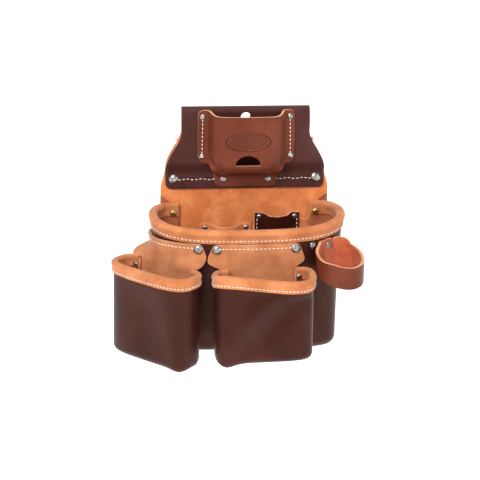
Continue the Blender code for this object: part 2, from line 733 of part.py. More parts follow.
def strap_sheet(name, places, drops_of, parent=None):
    """A stretch of strap: its outer face between a top and a bottom drop."""
    rows = []
    for share in (0.0, 0.5, 1.0):
        row = []
        for place in places:
            top, bottom = drops_of(place)
            row.append(Vector((place.x, place.y, height(mix(top, bottom, share)))))
        rows.append(row)
    sheet(name, rows, STRAP_LEATHER, RUSSET, parent=parent)


RING = ring_path()
loop_hinge = OUTLINE[SEAM_INDEX] + SEAM_NORMAL * (GAP + STRAP_LEATHER)
loop_axis = axis_empty("hammer_loop_axis",
                       (loop_hinge.x, loop_hinge.y, height(LOOP_HINGE_DROP)), SEAM_FACING)
SEAM_ALONG = Vector((-SEAM_NORMAL.y, SEAM_NORMAL.x))


def seam_reach(place):
    """Signed distance of a place from the seam, along the bag."""
    return (place - OUTLINE[SEAM_INDEX]).dot(SEAM_ALONG)


def loop_drops(place):
    """The moving strap starts under its riveted ends and at its own top edge elsewhere."""
    top = loop_top(place)
    near = abs(seam_reach(place)) < LOOP_TAB_HALF + LOOP_CUT_MARGIN
    behind = (place - LOOP_CENTRE).dot(SEAM_NORMAL) < 0
    bottom = top + LOOP_HEIGHT
    if near and behind:
        top = max(top, LOOP_HINGE_DROP)
    return top, bottom


def tab_outline_drops(place):
    """A riveted end: a rounded lobe above the strap's line."""
    reach = abs(seam_reach(place))
    middle = LOOP_RIVET_REACH
    lobe = max(0.0, 1 - ((reach - middle) / 0.0075) ** 2)
    top = mix(loop_top(place), LOOP_TAB_TOP_DROP, math.sqrt(lobe))
    return min(top, LOOP_HINGE_DROP - 0.003), LOOP_HINGE_DROP - GAP


half_gap = GAP / 2
strap_sheet("hammer_loop", RING[1:-1], loop_drops, loop_axis)
for label, side in (("left", -1), ("right", 1)):
    reaches = [side * mix(half_gap, LOOP_TAB_HALF, step / 8) for step in range(9)]
    reaches.sort()
    ends = []
    for reach in reaches:
        spot, normal = along_outline(SEAM_INDEX, reach)
        ends.append(spot + normal * (GAP + STRAP_LEATHER))
    strap_sheet(f"hammer_tab_{label}", ends, tab_outline_drops)


# ---------------------------------------------------------------- rivets and their holes
HOLES = {}


def rivet(name, face, out, cap, length, layers, surface, parent=None, drift=0.0):
    """A domed rivet: face is its cap's seat, out points away from the leather, and
    length reaches to its rear cap.  The layers get a clearance hole."""
    dome = cap * 0.42
    rear_cap = min(cap, 0.0040)
    profile = [(0.0, dome), (cap * 0.72, dome * 0.72), (cap, 0.0), (RIVET_SHANK, 0.0),
               (RIVET_SHANK, -length), (rear_cap, -length), (rear_cap * 0.8, -length - 0.0008),
               (0.0, -length - 0.0008)]
    sides = 12 if cap > MID_RIVET else 8
    work = bmesh.new()
    ring = [work.verts.new((radius, 0.0, rise)) for radius, rise in profile]
    edges = [work.edges.new(pair) for pair in zip(ring, ring[1:])]
    bmesh.ops.spin(work, geom=ring + edges, axis=(0, 0, 1), cent=(0, 0, 0),
                   angle=2 * math.pi, steps=sides)
    bmesh.ops.remove_doubles(work, verts=work.verts[:], dist=0.00001)
    bmesh.ops.recalc_face_normals(work, faces=work.faces[:])
    mesh = bpy.data.meshes.new(name)
    work.to_mesh(mesh)
    work.free()
    mesh.shade_smooth()
    mesh.set_sharp_from_angle(angle=math.radians(50))
    turn = Vector(out).to_track_quat("Z", "Y")
    place = Matrix.Translation(Vector(face)) @ turn.to_matrix().to_4x4()
    mesh.transform(place)
    add_object(name, mesh, surface, parent)
    for layer in layers:
        HOLES.setdefault(layer, []).append((place, length))


def on_yoke(contact, reach, drop):
    """Seat and direction of a rivet on a yoke strip."""
    spot, normal = along_outline(contact, reach)
    seat = spot + normal * (3 * GAP + PANEL_LEATHER)
    return (seat.x, seat.y, height(drop)), (normal.x, normal.y, 0.0)


FORWARD = (0.0, -1.0, 0.0)
flap_stack = FLAP_NEAR + BACK_LEATHER + GAP
BELT_RIVET = (0.0885, 0.0889)                   # across, drop
for label, side in (("left", -1), ("right", 1)):
    across, drop = BELT_RIVET
    rivet(f"rivet_belt_{label}", (side * across, -flap_stack, height(drop)), FORWARD,
          BIG_RIVET, flap_stack + GAP, ("belt_panel", "back_lining"), NICKEL)

flange_face = FLAP_FAR + BACK_LEATHER + HOLSTER_LEATHER + 2 * GAP
HOLSTER_RIVETS = {"top": (0.0536, 0.0080), "low": (0.0545, 0.0575)}
for row_label, (across, drop) in HOLSTER_RIVETS.items():
    for label, side in (("left", -1), ("right", 1)):
        rivet(f"rivet_holster_{row_label}_{label}",
              (HOLSTER_CENTRE_X + side * across, -flange_face, height(drop)), FORWARD,
              SMALL_RIVET, HOLSTER_LEATHER + BACK_LEATHER + 3 * GAP,
              ("tape_holster", "belt_panel"), NICKEL)
HOLSTER_TAB_RIVET = (0.0280, 0.0895)
for label, side in (("left", -1), ("right", 1)):
    across, drop = HOLSTER_TAB_RIVET
    seat = flap_stack + HOLSTER_LEATHER + GAP
    rivet(f"rivet_holster_tab_{label}", (HOLSTER_CENTRE_X + side * across, -seat,
                                         height(drop)), FORWARD, MID_RIVET,
          seat + GAP, ("tape_holster", "belt_panel", "back_lining"), NICKEL)

RIM_RIVET = (0.0895, 0.1320)
rim_seat = BAG_REAR + BAG_LEATHER + 2 * GAP + BINDING_LEATHER
for label, side in (("left", -1), ("right", 1)):
    across, drop = RIM_RIVET
    rivet(f"rivet_main_rim_{label}", (side * across, -rim_seat, height(drop)), FORWARD,
          MID_RIVET, rim_seat + GAP,
          ("main_binding", "main_shell", "back_lining", "belt_panel"), BRASS)

for side_label, contact in (("left", left_contact), ("right", right_contact)):
    for label, side in (("left", -1), ("right", 1)):
        seat, out = on_yoke(contact, side * YOKE_RIVET_REACH, YOKE_RIVET_DROP)
        rivet(f"rivet_{side_label}_yoke_{label}", seat, out, YOKE_RIVET,
              PANEL_LEATHER + BAG_LEATHER + 3 * GAP + CURVE_ROOM,
              (f"{side_label}_yoke_strip", "main_shell"), NICKEL)

POUCH_RIM_RIVET = (0.0450, 0.0115)              # across, below the rim's top
for side_label, frame, spec, empty in (("left", left_pouch, left_spec, left_axis),
                                       ("right", right_pouch, right_spec, right_axis)):
    for label, side in (("left", -1), ("right", 1)):
        across, below = POUCH_RIM_RIVET
        drop = spec["rim"](0.0, 0.0) + below
        seat = spec["rear"] + POUCH_LEATHER + 2 * GAP + BINDING_LEATHER
        place = frame.point(side * across, seat, drop)
        rivet(f"rivet_{side_label}_rim_{label}", place, (frame.out.x, frame.out.y, 0.0),
              SMALL_RIVET, seat + PANEL_LEATHER + GAP,
              (f"{side_label}_binding", f"{side_label}_shell", f"{side_label}_back_panel"),
              NICKEL, empty)

for label, side in (("left", -1), ("right", 1)):
    spot, normal = along_outline(SEAM_INDEX, side * LOOP_RIVET_REACH)
    seat = spot + normal * (STRAP_LEATHER + 2 * GAP)
    rivet(f"rivet_hammer_{label}", (seat.x, seat.y, height(LOOP_RIVET_DROP)),
          (normal.x, normal.y, 0.0), MID_RIVET,
          STRAP_LEATHER + BAG_LEATHER + 3 * GAP + CURVE_ROOM,
          (f"hammer_tab_{label}", "main_shell"), NICKEL)

BAG_SIDE_RIVET = (0.0765, 0.1515)
side_index = min(front_right, key=lambda i: abs(OUTLINE[i].x - BAG_SIDE_RIVET[0]))
side_normal = outline_normal(side_index)
side_seat = OUTLINE[side_index] + side_normal * 2 * GAP
rivet("rivet_bag_side", (side_seat.x, side_seat.y, height(BAG_SIDE_RIVET[1])),
      (side_normal.x, side_normal.y, 0.0), MID_RIVET, BAG_LEATHER + GAP + CURVE_ROOM,
      ("main_shell",), NICKEL)

for label, ends, top in (("tan", TAN_POCKET, TAN_POCKET_DROP),
                         ("dark", DARK_POCKET, DARK_POCKET_DROP)):
    seat = LINING_FACE + POCKET_LEATHER + 2 * GAP
    for side_label, across in (("left", ends[0] + POCKET_EDGE), ("right", ends[1] - POCKET_EDGE)):
        rivet(f"rivet_{label}_pocket_{side_label}",
              (across, -seat, height(top + POCKET_RIVET_DEPTH)), FORWARD, SMALL_RIVET,
              seat + GAP, (f"inner_pocket_{label}", "back_lining", "belt_panel"), NICKEL)


def drill(layer, places):
    """Cut a clearance hole through a layer at each of its rivets."""
    work = bmesh.new()
    for place, length in places:
        middle = place @ Matrix.Translation((0.0, 0.0, -length / 2))
        bmesh.ops.create_cone(work, cap_ends=True, segments=8,
                              radius1=RIVET_SHANK + RIVET_SHANK_GAP,
                              radius2=RIVET_SHANK + RIVET_SHANK_GAP,
                              depth=length + 0.0012, matrix=middle)
    cut_away(layer, work)


def cut_away(layer, work):
    """Take a closed tool mesh away from a layer."""
    mesh = bpy.data.meshes.new(f"cut_{layer}")
    work.to_mesh(mesh)
    work.free()
    tool = bpy.data.objects.new(mesh.name, mesh)
    bpy.context.collection.objects.link(tool)
    tool.hide_render = True
    tool.display_type = "WIRE"
    cut = bpy.data.objects[layer].modifiers.new("holes", "BOOLEAN")
    cut.operation = "DIFFERENCE"
    cut.object = tool


for layer, places in HOLES.items():
    drill(layer, places)

# hang hole through both layers of the belt panel
hang = bmesh.new()
turned = Matrix.Translation((0.0, -0.010, height(HANG_HOLE_DROP))) @ Matrix.Rotation(
    math.pi / 2, 4, "X")
bmesh.ops.create_cone(hang, cap_ends=True, segments=16, radius1=HANG_HOLE_RADIUS,
                      radius2=HANG_HOLE_RADIUS, depth=0.040, matrix=turned)
cut_away("belt_panel", hang)

# finger cut-out low in the tape holster's front
finger = bmesh.new()
arch = []
for step in range(9):
    angle = math.pi * step / 8
    arch.append(finger.verts.new((HOLSTER_CENTRE_X + HOLSTER_CUT_HALF * math.cos(angle),
                                  -(flange_face + HOLSTER_BULGE * 0.6),
                                  height(HOLSTER_CUT_DROP + HOLSTER_CUT_HEIGHT)
                                  + HOLSTER_CUT_HEIGHT * math.sin(angle))))
face = finger.faces.new(arch)
grown = bmesh.ops.extrude_face_region(finger, geom=[face])
moved = [item for item in grown["geom"] if isinstance(item, bmesh.types.BMVert)]
bmesh.ops.translate(finger, vec=(0.0, -0.030, 0.0), verts=moved)
bmesh.ops.recalc_face_normals(finger, faces=finger.faces[:])
cut_away("tape_holster", finger)
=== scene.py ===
"""Looks of the leather tool pouch bag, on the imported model's frame.  Metres, +Z up."""
import math

import bmesh
import bpy
from mathutils import Matrix, Vector, noise


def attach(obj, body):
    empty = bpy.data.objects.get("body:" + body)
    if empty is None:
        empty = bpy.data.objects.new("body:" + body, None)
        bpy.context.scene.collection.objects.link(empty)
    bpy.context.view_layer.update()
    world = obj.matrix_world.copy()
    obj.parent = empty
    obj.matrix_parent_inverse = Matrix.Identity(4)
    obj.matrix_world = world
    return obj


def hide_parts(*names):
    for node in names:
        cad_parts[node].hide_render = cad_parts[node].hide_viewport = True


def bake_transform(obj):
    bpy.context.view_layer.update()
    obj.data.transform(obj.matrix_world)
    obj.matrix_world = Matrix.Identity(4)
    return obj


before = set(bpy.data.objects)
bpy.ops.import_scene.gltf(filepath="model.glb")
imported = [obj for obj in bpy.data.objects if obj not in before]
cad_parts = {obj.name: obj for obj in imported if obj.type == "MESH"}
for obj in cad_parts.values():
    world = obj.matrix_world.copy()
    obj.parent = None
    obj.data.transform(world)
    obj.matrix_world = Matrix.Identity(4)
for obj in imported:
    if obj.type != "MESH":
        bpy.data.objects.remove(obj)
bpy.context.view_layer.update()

# ------------------------------------------------------------------ studio
# A pale seamless floor well under the hanging bag, with broad soft lights, and a camera
# a little above the bag and to its left.
target = Vector((-0.0044, 0.0, -0.1230))
view_azimuth = math.radians(-5.2)
view_elevation = math.radians(18.4)
view_tilt = math.radians(0.6)
view_distance = 1.8
away = Vector((math.sin(view_azimuth) * math.cos(view_elevation),
               -math.cos(view_azimuth) * math.cos(view_elevation), math.sin(view_elevation)))
lens_data = bpy.data.cameras.new("camera")
lens_data.lens = 106.3
camera = bpy.data.objects.new("camera", lens_data)
camera.location = target + away * view_distance
level = (-away).to_track_quat("-Z", "Y").to_matrix()
camera.rotation_euler = (level @ Matrix.Rotation(view_tilt, 3, "Z")).to_euler()
bpy.context.collection.objects.link(camera)
bpy.context.scene.camera = camera


def plain_material(name, colour, roughness):
    made = bpy.data.materials.new(name)
    made.use_nodes = True
    shader = made.node_tree.nodes["Principled BSDF"]
    shader.inputs["Base Color"].default_value = (*colour, 1.0)
    shader.inputs["Roughness"].default_value = roughness
    return made


floor_mesh = bpy.data.meshes.new("floor")
floor_shape = bmesh.new()
bmesh.ops.create_grid(floor_shape, x_segments=1, y_segments=1, size=30.0,
                      matrix=Matrix.Translation((0, 0, -0.42)))
floor_shape.to_mesh(floor_mesh)
floor_shape.free()
floor_paint = plain_material("floor", (0.90, 0.90, 0.90), 0.9)
floor_glow = floor_paint.node_tree.nodes["Principled BSDF"].inputs
floor_glow["Emission Color"].default_value = (1.0, 1.0, 1.0, 1.0)
floor_glow["Emission Strength"].default_value = 0.68
floor_mesh.materials.append(floor_paint)
floor = bpy.data.objects.new("floor", floor_mesh)
bpy.context.collection.objects.link(floor)

world = bpy.data.worlds.new("studio")
world.use_nodes = True
world.node_tree.nodes["Background"].inputs["Color"].default_value = (1.0, 1.0, 1.0, 1.0)
seen_directly = world.node_tree.nodes.new("ShaderNodeLightPath").outputs["Is Camera Ray"]
backdrop_level = world.node_tree.nodes.new("ShaderNodeMapRange")
backdrop_level.inputs["To Min"].default_value = 0.34
backdrop_level.inputs["To Max"].default_value = 1.0
world.node_tree.links.new(seen_directly, backdrop_level.inputs["Value"])
world.node_tree.links.new(backdrop_level.outputs["Result"],
                          world.node_tree.nodes["Background"].inputs["Strength"])
bpy.context.scene.world = world
bpy.context.scene.view_settings.view_transform = "Standard"


def soft_light(name, place, aim, size, watts):
    data = bpy.data.lights.new(name, "AREA")
    data.size = size
    data.energy = watts
    lamp = bpy.data.objects.new(name, data)
    lamp.location = place
    lamp.rotation_euler = (Vector(aim) - Vector(place)).to_track_quat("-Z", "Y").to_euler()
    bpy.context.collection.objects.link(lamp)


soft_light("key", (-0.9, -1.6, 1.2), target, 0.8, 40.0)
soft_light("fill", (1.5, -1.6, 0.4), target, 1.3, 13.0)
soft_light("top", (0.1, -0.3, 1.7), target, 1.2, 15.0)
soft_light("back", (0.3, 1.8, 0.9), target, 1.4, 12.0)

# ------------------------------------------------------------------ main bag
# The deep bag is one moulded sheet of dark leather: its sides turn in behind and are
# riveted to the lining, and its floor folds back.  A suede strip is rolled over the rim.
# The grain, nap and wear of every leather are worked out from the place on the bag.


def link(tree, source, target_socket):
    tree.links.new(source, target_socket)


def shaded(name, roughness, metallic=0.0):
    """A new material with its shader and its place on the bag."""
    made = bpy.data.materials.new(name)
    made.use_nodes = True
    tree = made.node_tree
    shader = tree.nodes["Principled BSDF"]
    shader.inputs["Roughness"].default_value = roughness
    shader.inputs["Metallic"].default_value = metallic
    place = tree.nodes.new("ShaderNodeTexCoord").outputs["Object"]
    return made, tree, shader, place


def clouds(tree, place, scale, detail=4.0, rough=0.55):
    node = tree.nodes.new("ShaderNodeTexNoise")
    node.inputs["Scale"].default_value = scale
    node.inputs["Detail"].default_value = detail
    node.inputs["Roughness"].default_value = rough
    link(tree, place, node.inputs["Vector"])
    return node.outputs["Fac"]


def tones(tree, factor, *stops):
    """A colour ramp through (position, colour) stops."""
    ramp = tree.nodes.new("ShaderNodeValToRGB").color_ramp
    node = next(n for n in tree.nodes if n.type == "VALTORGB" and n.color_ramp == ramp)
    ramp.elements[0].position, ramp.elements[0].color = stops[0][0], (*stops[0][1], 1)
    ramp.elements[1].position, ramp.elements[1].color = stops[-1][0], (*stops[-1][1], 1)
    for position, colour in stops[1:-1]:
        ramp.elements.new(position).color = (*colour, 1)
    link(tree, factor, node.inputs["Fac"])
    return node.outputs["Color"]


def raised(tree, height, strength, distance, under=None):
    node = tree.nodes.new("ShaderNodeBump")
    node.inputs["Strength"].default_value = strength
    node.inputs["Distance"].default_value = distance
    link(tree, height, node.inputs["Height"])
    if under is not None:
        link(tree, under, node.inputs["Normal"])
    return node.outputs["Normal"]


def smooth_leather(name, dark, middle, light, roughness):
    """Full-grain leather: fine pebbled grain, faint creases, uneven dye and polish."""
    made, tree, shader, place = shaded(name, roughness)
    patches = clouds(tree, place, 16.0, 5.0)
    link(tree, tones(tree, patches, (0.30, dark), (0.52, middle), (0.78, light)),
         shader.inputs["Base Color"])
    pebbles = tree.nodes.new("ShaderNodeTexVoronoi")
    pebbles.feature = "SMOOTH_F1"
    pebbles.inputs["Scale"].default_value = 1100.0
    link(tree, place, pebbles.inputs["Vector"])
    grain = raised(tree, pebbles.outputs["Distance"], 0.16, 0.0004)
    creases = raised(tree, clouds(tree, place, 240.0, 6.0, 0.65), 0.22, 0.0008, grain)
    swells = raised(tree, clouds(tree, place, 26.0, 2.0), 0.30, 0.0040, creases)
    link(tree, swells, shader.inputs["Normal"])
    polish = tree.nodes.new("ShaderNodeMapRange")
    polish.inputs["To Min"].default_value = roughness - 0.07
    polish.inputs["To Max"].default_value = roughness + 0.12
    link(tree, clouds(tree, place, 55.0, 5.0), polish.inputs["Value"])
    link(tree, polish.outputs["Result"], shader.inputs["Roughness"])
    shader.inputs["Specular IOR Level"].default_value = 0.22
    shader.inputs["Specular Tint"].default_value = (1.0, 0.64, 0.55, 1.0)
    return made


def suede(name, dark, middle, light):
    """Split leather's brushed face: mottled colour, short nap and a soft sheen."""
    made, tree, shader, place = shaded(name, 0.92)
    mottle = clouds(tree, place, 42.0, 8.0, 0.68)
    link(tree, tones(tree, mottle, (0.35, dark), (0.52, middle), (0.67, light)),
         shader.inputs["Base Color"])
    nap = raised(tree, clouds(tree, place, 1500.0, 3.0, 0.7), 0.30, 0.0006)
    tufts = raised(tree, clouds(tree, place, 330.0, 4.0, 0.6), 0.28, 0.0009, nap)
    link(tree, tufts, shader.inputs["Normal"])
    shader.inputs["Sheen Weight"].default_value = 0.30
    shader.inputs["Sheen Roughness"].default_value = 0.45
    shader.inputs["Specular IOR Level"].default_value = 0.18
    return made


dark_leather = smooth_leather("dark_leather", (0.027, 0.0055, 0.0034), (0.036, 0.0080, 0.0052),
                              (0.052, 0.0140, 0.0098), 0.36)
tan_suede = suede("tan_suede", (0.43, 0.135, 0.046), (0.52, 0.180, 0.066),
                  (0.62, 0.240, 0.095))
flesh_side = suede("flesh_side", (0.30, 0.080, 0.034), (0.42, 0.125, 0.052),
                   (0.52, 0.180, 0.080))
cut_edge = suede("cut_edge", (0.52, 0.210, 0.085), (0.66, 0.290, 0.125),
                 (0.78, 0.380, 0.180))
thread = suede("thread", (0.74, 0.66, 0.56), (0.82, 0.76, 0.67), (0.90, 0.86, 0.79))

clear = 0.0003
fold_height = 0.050


def height(drop):
    """World height of a drop below the belt panel's fold line."""
    return fold_height - drop


def ramp(value, start, end):
    t = min(1.0, max(0.0, (value - start) / (end - start)))
    return t * t * (3.0 - 2.0 * t)


def mix(a, b, t):
    return a + (b - a) * t


def evenly(points, count):
    """The given number of points, evenly spaced along a polyline."""
    lengths = [0.0]
    for a, b in zip(points, points[1:]):
        lengths.append(lengths[-1] + math.dist(a, b))
    result = []
    index = 0
    for step in range(count):
        goal = lengths[-1] * step / (count - 1)
        while index < len(points) - 2 and lengths[index + 1] < goal:
            index += 1
        span = max(1e-9, lengths[index + 1] - lengths[index])
        t = (goal - lengths[index]) / span
        result.append(tuple(mix(a, b, t) for a, b in zip(points[index], points[index + 1])))
    return result


def cup_outline(cup, half, front, power, count):
    """From the left turned-in end round the front to the right one: (across, depth)."""
    bend = cup["bend"]
    rear = cup["rear"]
    side = cup["side"]
    left = [(-cup["flange_end"], rear), (-(half - bend), rear)]
    for step in range(1, 25):
        angle = math.pi / 2 * step / 24
        left.append((-(half - bend) - bend * math.sin(angle),
                     side - (side - rear) * math.cos(angle)))
    for step in range(1, 73):
        angle = math.pi / 2 * step / 72
        left.append((-half * math.cos(angle) ** (2 / power),
                     side + (front - side) * math.sin(angle) ** (2 / power)))
    right = [(-u, w) for u, w in reversed(left[:-1])]
    return evenly(left + right, count)


def out_from(outline, index):
    """Outward direction of an outline in plan."""
    before = outline[max(0, index - 1)]
    after = outline[min(len(outline) - 1, index + 1)]
    along = Vector((after[0] - before[0], after[1] - before[1])).normalized()
    return Vector((-along.y, along.x))


class Stand:
    """Where a cup stands: a place on its back, and the way it faces."""

    def __init__(self, x, y, facing):
        self.origin = Vector((x, y))
        self.across = Vector((math.cos(facing), math.sin(facing)))
        self.out = Vector((math.sin(facing), -math.cos(facing)))

    def point(self, u, w, drop):
        flat = self.origin + self.across * u + self.out * w
        return Vector((flat.x, flat.y, height(drop)))


def new_piece(name, mesh, *surfaces):
    made = bpy.data.objects.new(name, mesh)
    bpy.context.collection.objects.link(made)
    for surface in surfaces:
        mesh.materials.append(surface)
    return made


def baked(piece):
    """Apply a piece's modifiers to a plain mesh."""
    bpy.context.view_layer.update()
    graph = bpy.context.evaluated_depsgraph_get()
    mesh = bpy.data.meshes.new_from_object(piece.evaluated_get(graph))
    piece.modifiers.clear()
    piece.data = mesh
    return piece


def leather_sheet(name, rows, thickness, outer, inner, edge, leave_open=None,
                  round_edge=0.0006, even=False, punched=None):
    """A sheet with its grain side, its flesh side and its rounded cut edges; a punched
    shape is cut out of it."""
    shape = bmesh.new()
    verts = [[shape.verts.new(point) for point in row] for row in rows]
    for r in range(len(rows) - 1):
        for c in range(len(rows[0]) - 1):
            if leave_open is not None and leave_open(r, c):
                continue
            shape.faces.new((verts[r][c], verts[r + 1][c], verts[r + 1][c + 1],
                             verts[r][c + 1]))
    loose = [vert for vert in shape.verts if not vert.link_faces]
    bmesh.ops.delete(shape, geom=loose, context="VERTS")
    mesh = bpy.data.meshes.new(name)
    shape.to_mesh(mesh)
    shape.free()
    mesh.shade_smooth()
    piece = new_piece(name, mesh, outer, inner, edge)
    thick = piece.modifiers.new("thickness", "SOLIDIFY")
    thick.thickness = thickness
    thick.offset = -1.0
    thick.use_even_offset = even
    thick.material_offset = 1
    thick.material_offset_rim = 2
    if punched is not None:
        punch = piece.modifiers.new("punched", "BOOLEAN")
        punch.operation = "DIFFERENCE"
        punch.object = punched
    if round_edge:
        worn = piece.modifiers.new("worn_edge", "BEVEL")
        worn.width = round_edge
        worn.segments = 2
        worn.limit_method = "ANGLE"
        worn.angle_limit = math.radians(50)
        worn.material = 2
    baked(piece)
    piece.data.shade_smooth()
    if punched is not None:
        bpy.data.objects.remove(punched)
    return piece


bag = {
    "half": 0.1175, "floor_half": 0.112, "rear": 0.0084, "side": 0.042, "front": 0.098,
    "floor_front": 0.083, "flange_end": 0.083, "bend": 0.022, "power": 2.4,
    "floor_power": 4.0, "leather": 0.0032, "floor_drop": 0.292, "fillet": 0.012,
    "edge": 0.0046, "roll": 0.0054, "band": 0.017, "columns": 190,
    "rim": lambda u, w: 0.1285 - 0.0095 * (1 - ramp(w, 0.042, 0.098)),
    "swell": lambda u, w, t: 0.0012 * math.sin(math.pi * t) * math.cos(u * 22.0),
}
lining_front = 0.0057
bag["rear"] = lining_front + 0.0018 + 3 * clear


def cup_sheet(cup):
    """Rows down the wall, round the fillet and back over the floor."""
    count = cup["columns"]
    top = cup_outline(cup, cup["half"], cup["front"], cup["power"], count)
    low = cup_outline(cup, cup["floor_half"], cup["floor_front"], cup["floor_power"], count)
    wall_end = cup["floor_drop"] - cup["fillet"]
    droop = cup.get("droop", lambda u, w: 0.0)
    rows = [[(u, w, cup["rim"](u, w) + cup["edge"]) for u, w in top]]
    rings = 44
    for step in range(rings + 1):
        t = step / rings
        row = []
        for index, ((u0, w0), (u1, w1)) in enumerate(zip(top, low)):
            start = cup["rim"](u0, w0) + cup["band"] + 0.001
            free = ramp(w0, cup["rear"] + 0.004, cup["side"])
            push = cup["swell"](u0, w0, t) * free * ramp(t, 0.0, 0.12)
            out = out_from(low, index)
            row.append((mix(u0, u1, t) + out.x * push, mix(w0, w1, t) + out.y * push,
                        mix(start, wall_end, t) + droop(u1, w1) * ramp(t, 0.3, 1.0)))
        rows.append(row)
    edge_row = rows[-1]
    for step in range(1, 9):
        angle = math.pi / 2 * step / 8
        inset = cup["fillet"] * (1 - math.cos(angle))
        row = []
        for index, (u, w, drop) in enumerate(edge_row):
            out = out_from(low, index)
            row.append((u - out.x * inset, w - out.y * inset,
                        drop + cup["fillet"] * math.sin(angle)))
        rows.append(row)
    first = next(i for i, (u, w) in enumerate(low) if w > cup["rear"] + cup["fillet"])
    edge_row = rows[-1]
    reach = edge_row[first][0]
    for step in range(1, 9):
        t = step / 8
        row = []
        for index, (u, w, drop) in enumerate(edge_row):
            share = (index - first) / (count - 1 - 2 * first)
            row.append((mix(u, mix(reach, -reach, share), t), mix(w, cup["rear"], t),
                        mix(drop, cup["floor_drop"], t)))
        rows.append(row)
    return rows, first, rings + 1


def rolled_rim(cup, stand, name):
    """The suede strip: a plump roll over the edge and a sewn flange on each side, drawn
    in a little at every stitch."""
    outline = cup_outline(cup, cup["half"], cup["front"], cup["power"], 2 * cup["columns"])
    slot = cup["leather"] / 2 + clear
    thin = slot + 0.0018
    sections = []
    seam = []
    for index, (u, w) in enumerate(outline):
        out = out_from(outline, index)
        mid_u = u - out.x * cup["leather"] / 2
        mid_w = w - out.y * cup["leather"] / 2
        drop = cup["rim"](u, w)
        room = w - cup["rear"] - cup["leather"] / 2 + thin
        radius = max(thin + 0.00005, min(cup["roll"], room))
        radius *= 1 + 0.035 * noise.noise(Vector((u, w, drop)) * 90.0)
        radius = max(radius, thin + 0.00003)
        neck = math.asin(min(1.0, thin / radius))
        band = cup["band"] + 0.0004 * noise.noise(Vector((u * 60.0, w * 60.0, 3.0)))
        pinch = 0.0002 * math.cos(index * 2.1)
        section = [(slot, band - 0.0004), (slot + 0.0007, band), (thin - 0.0004, band - 0.0001),
                   (thin, band - 0.0008), (thin - 0.00045 + pinch, cup["seam"]),
                   (thin, cup["seam"] - 0.0022)]
        for step in range(17):
            turn = mix(math.pi - neck, -(math.pi - neck), step / 16)
            section.append((radius * math.sin(turn), radius - radius * math.cos(turn)))
        section += [(-thin, cup["seam"] - 0.0022), (-thin + 0.00045 + pinch, cup["seam"]),
                    (-thin, band - 0.0008), (-thin + 0.0004, band - 0.0001),
                    (-slot - 0.0007, band), (-slot, band - 0.0004),
                    (-slot, cup["edge"] - clear), (slot, cup["edge"] - clear)]
        sections.append([stand.point(mid_u + out.x * s, mid_w + out.y * s, drop + d)
                         for s, d in section])
        seam.append(stand.point(mid_u + out.x * (thin + 0.0001),
                                mid_w + out.y * (thin + 0.0001), drop + cup["seam"]))
    return closed_tube(name, sections, tan_suede), seam


def closed_tube(name, sections, surface):
    shape = bmesh.new()
    rings = [[shape.verts.new(point) for point in section] for section in sections]
    size = len(sections[0])
    for first, second in zip(rings, rings[1:]):
        for i in range(size):
            j = (i + 1) % size
            shape.faces.new((first[i], first[j], second[j], second[i]))
    shape.faces.new(list(reversed(rings[0])))
    shape.faces.new(rings[-1])
    bmesh.ops.recalc_face_normals(shape, faces=shape.faces[:])
    mesh = bpy.data.meshes.new(name)
    shape.to_mesh(mesh)
    shape.free()
    mesh.shade_smooth()
    mesh.set_sharp_from_angle(angle=math.radians(50))
    return new_piece(name, mesh, surface)


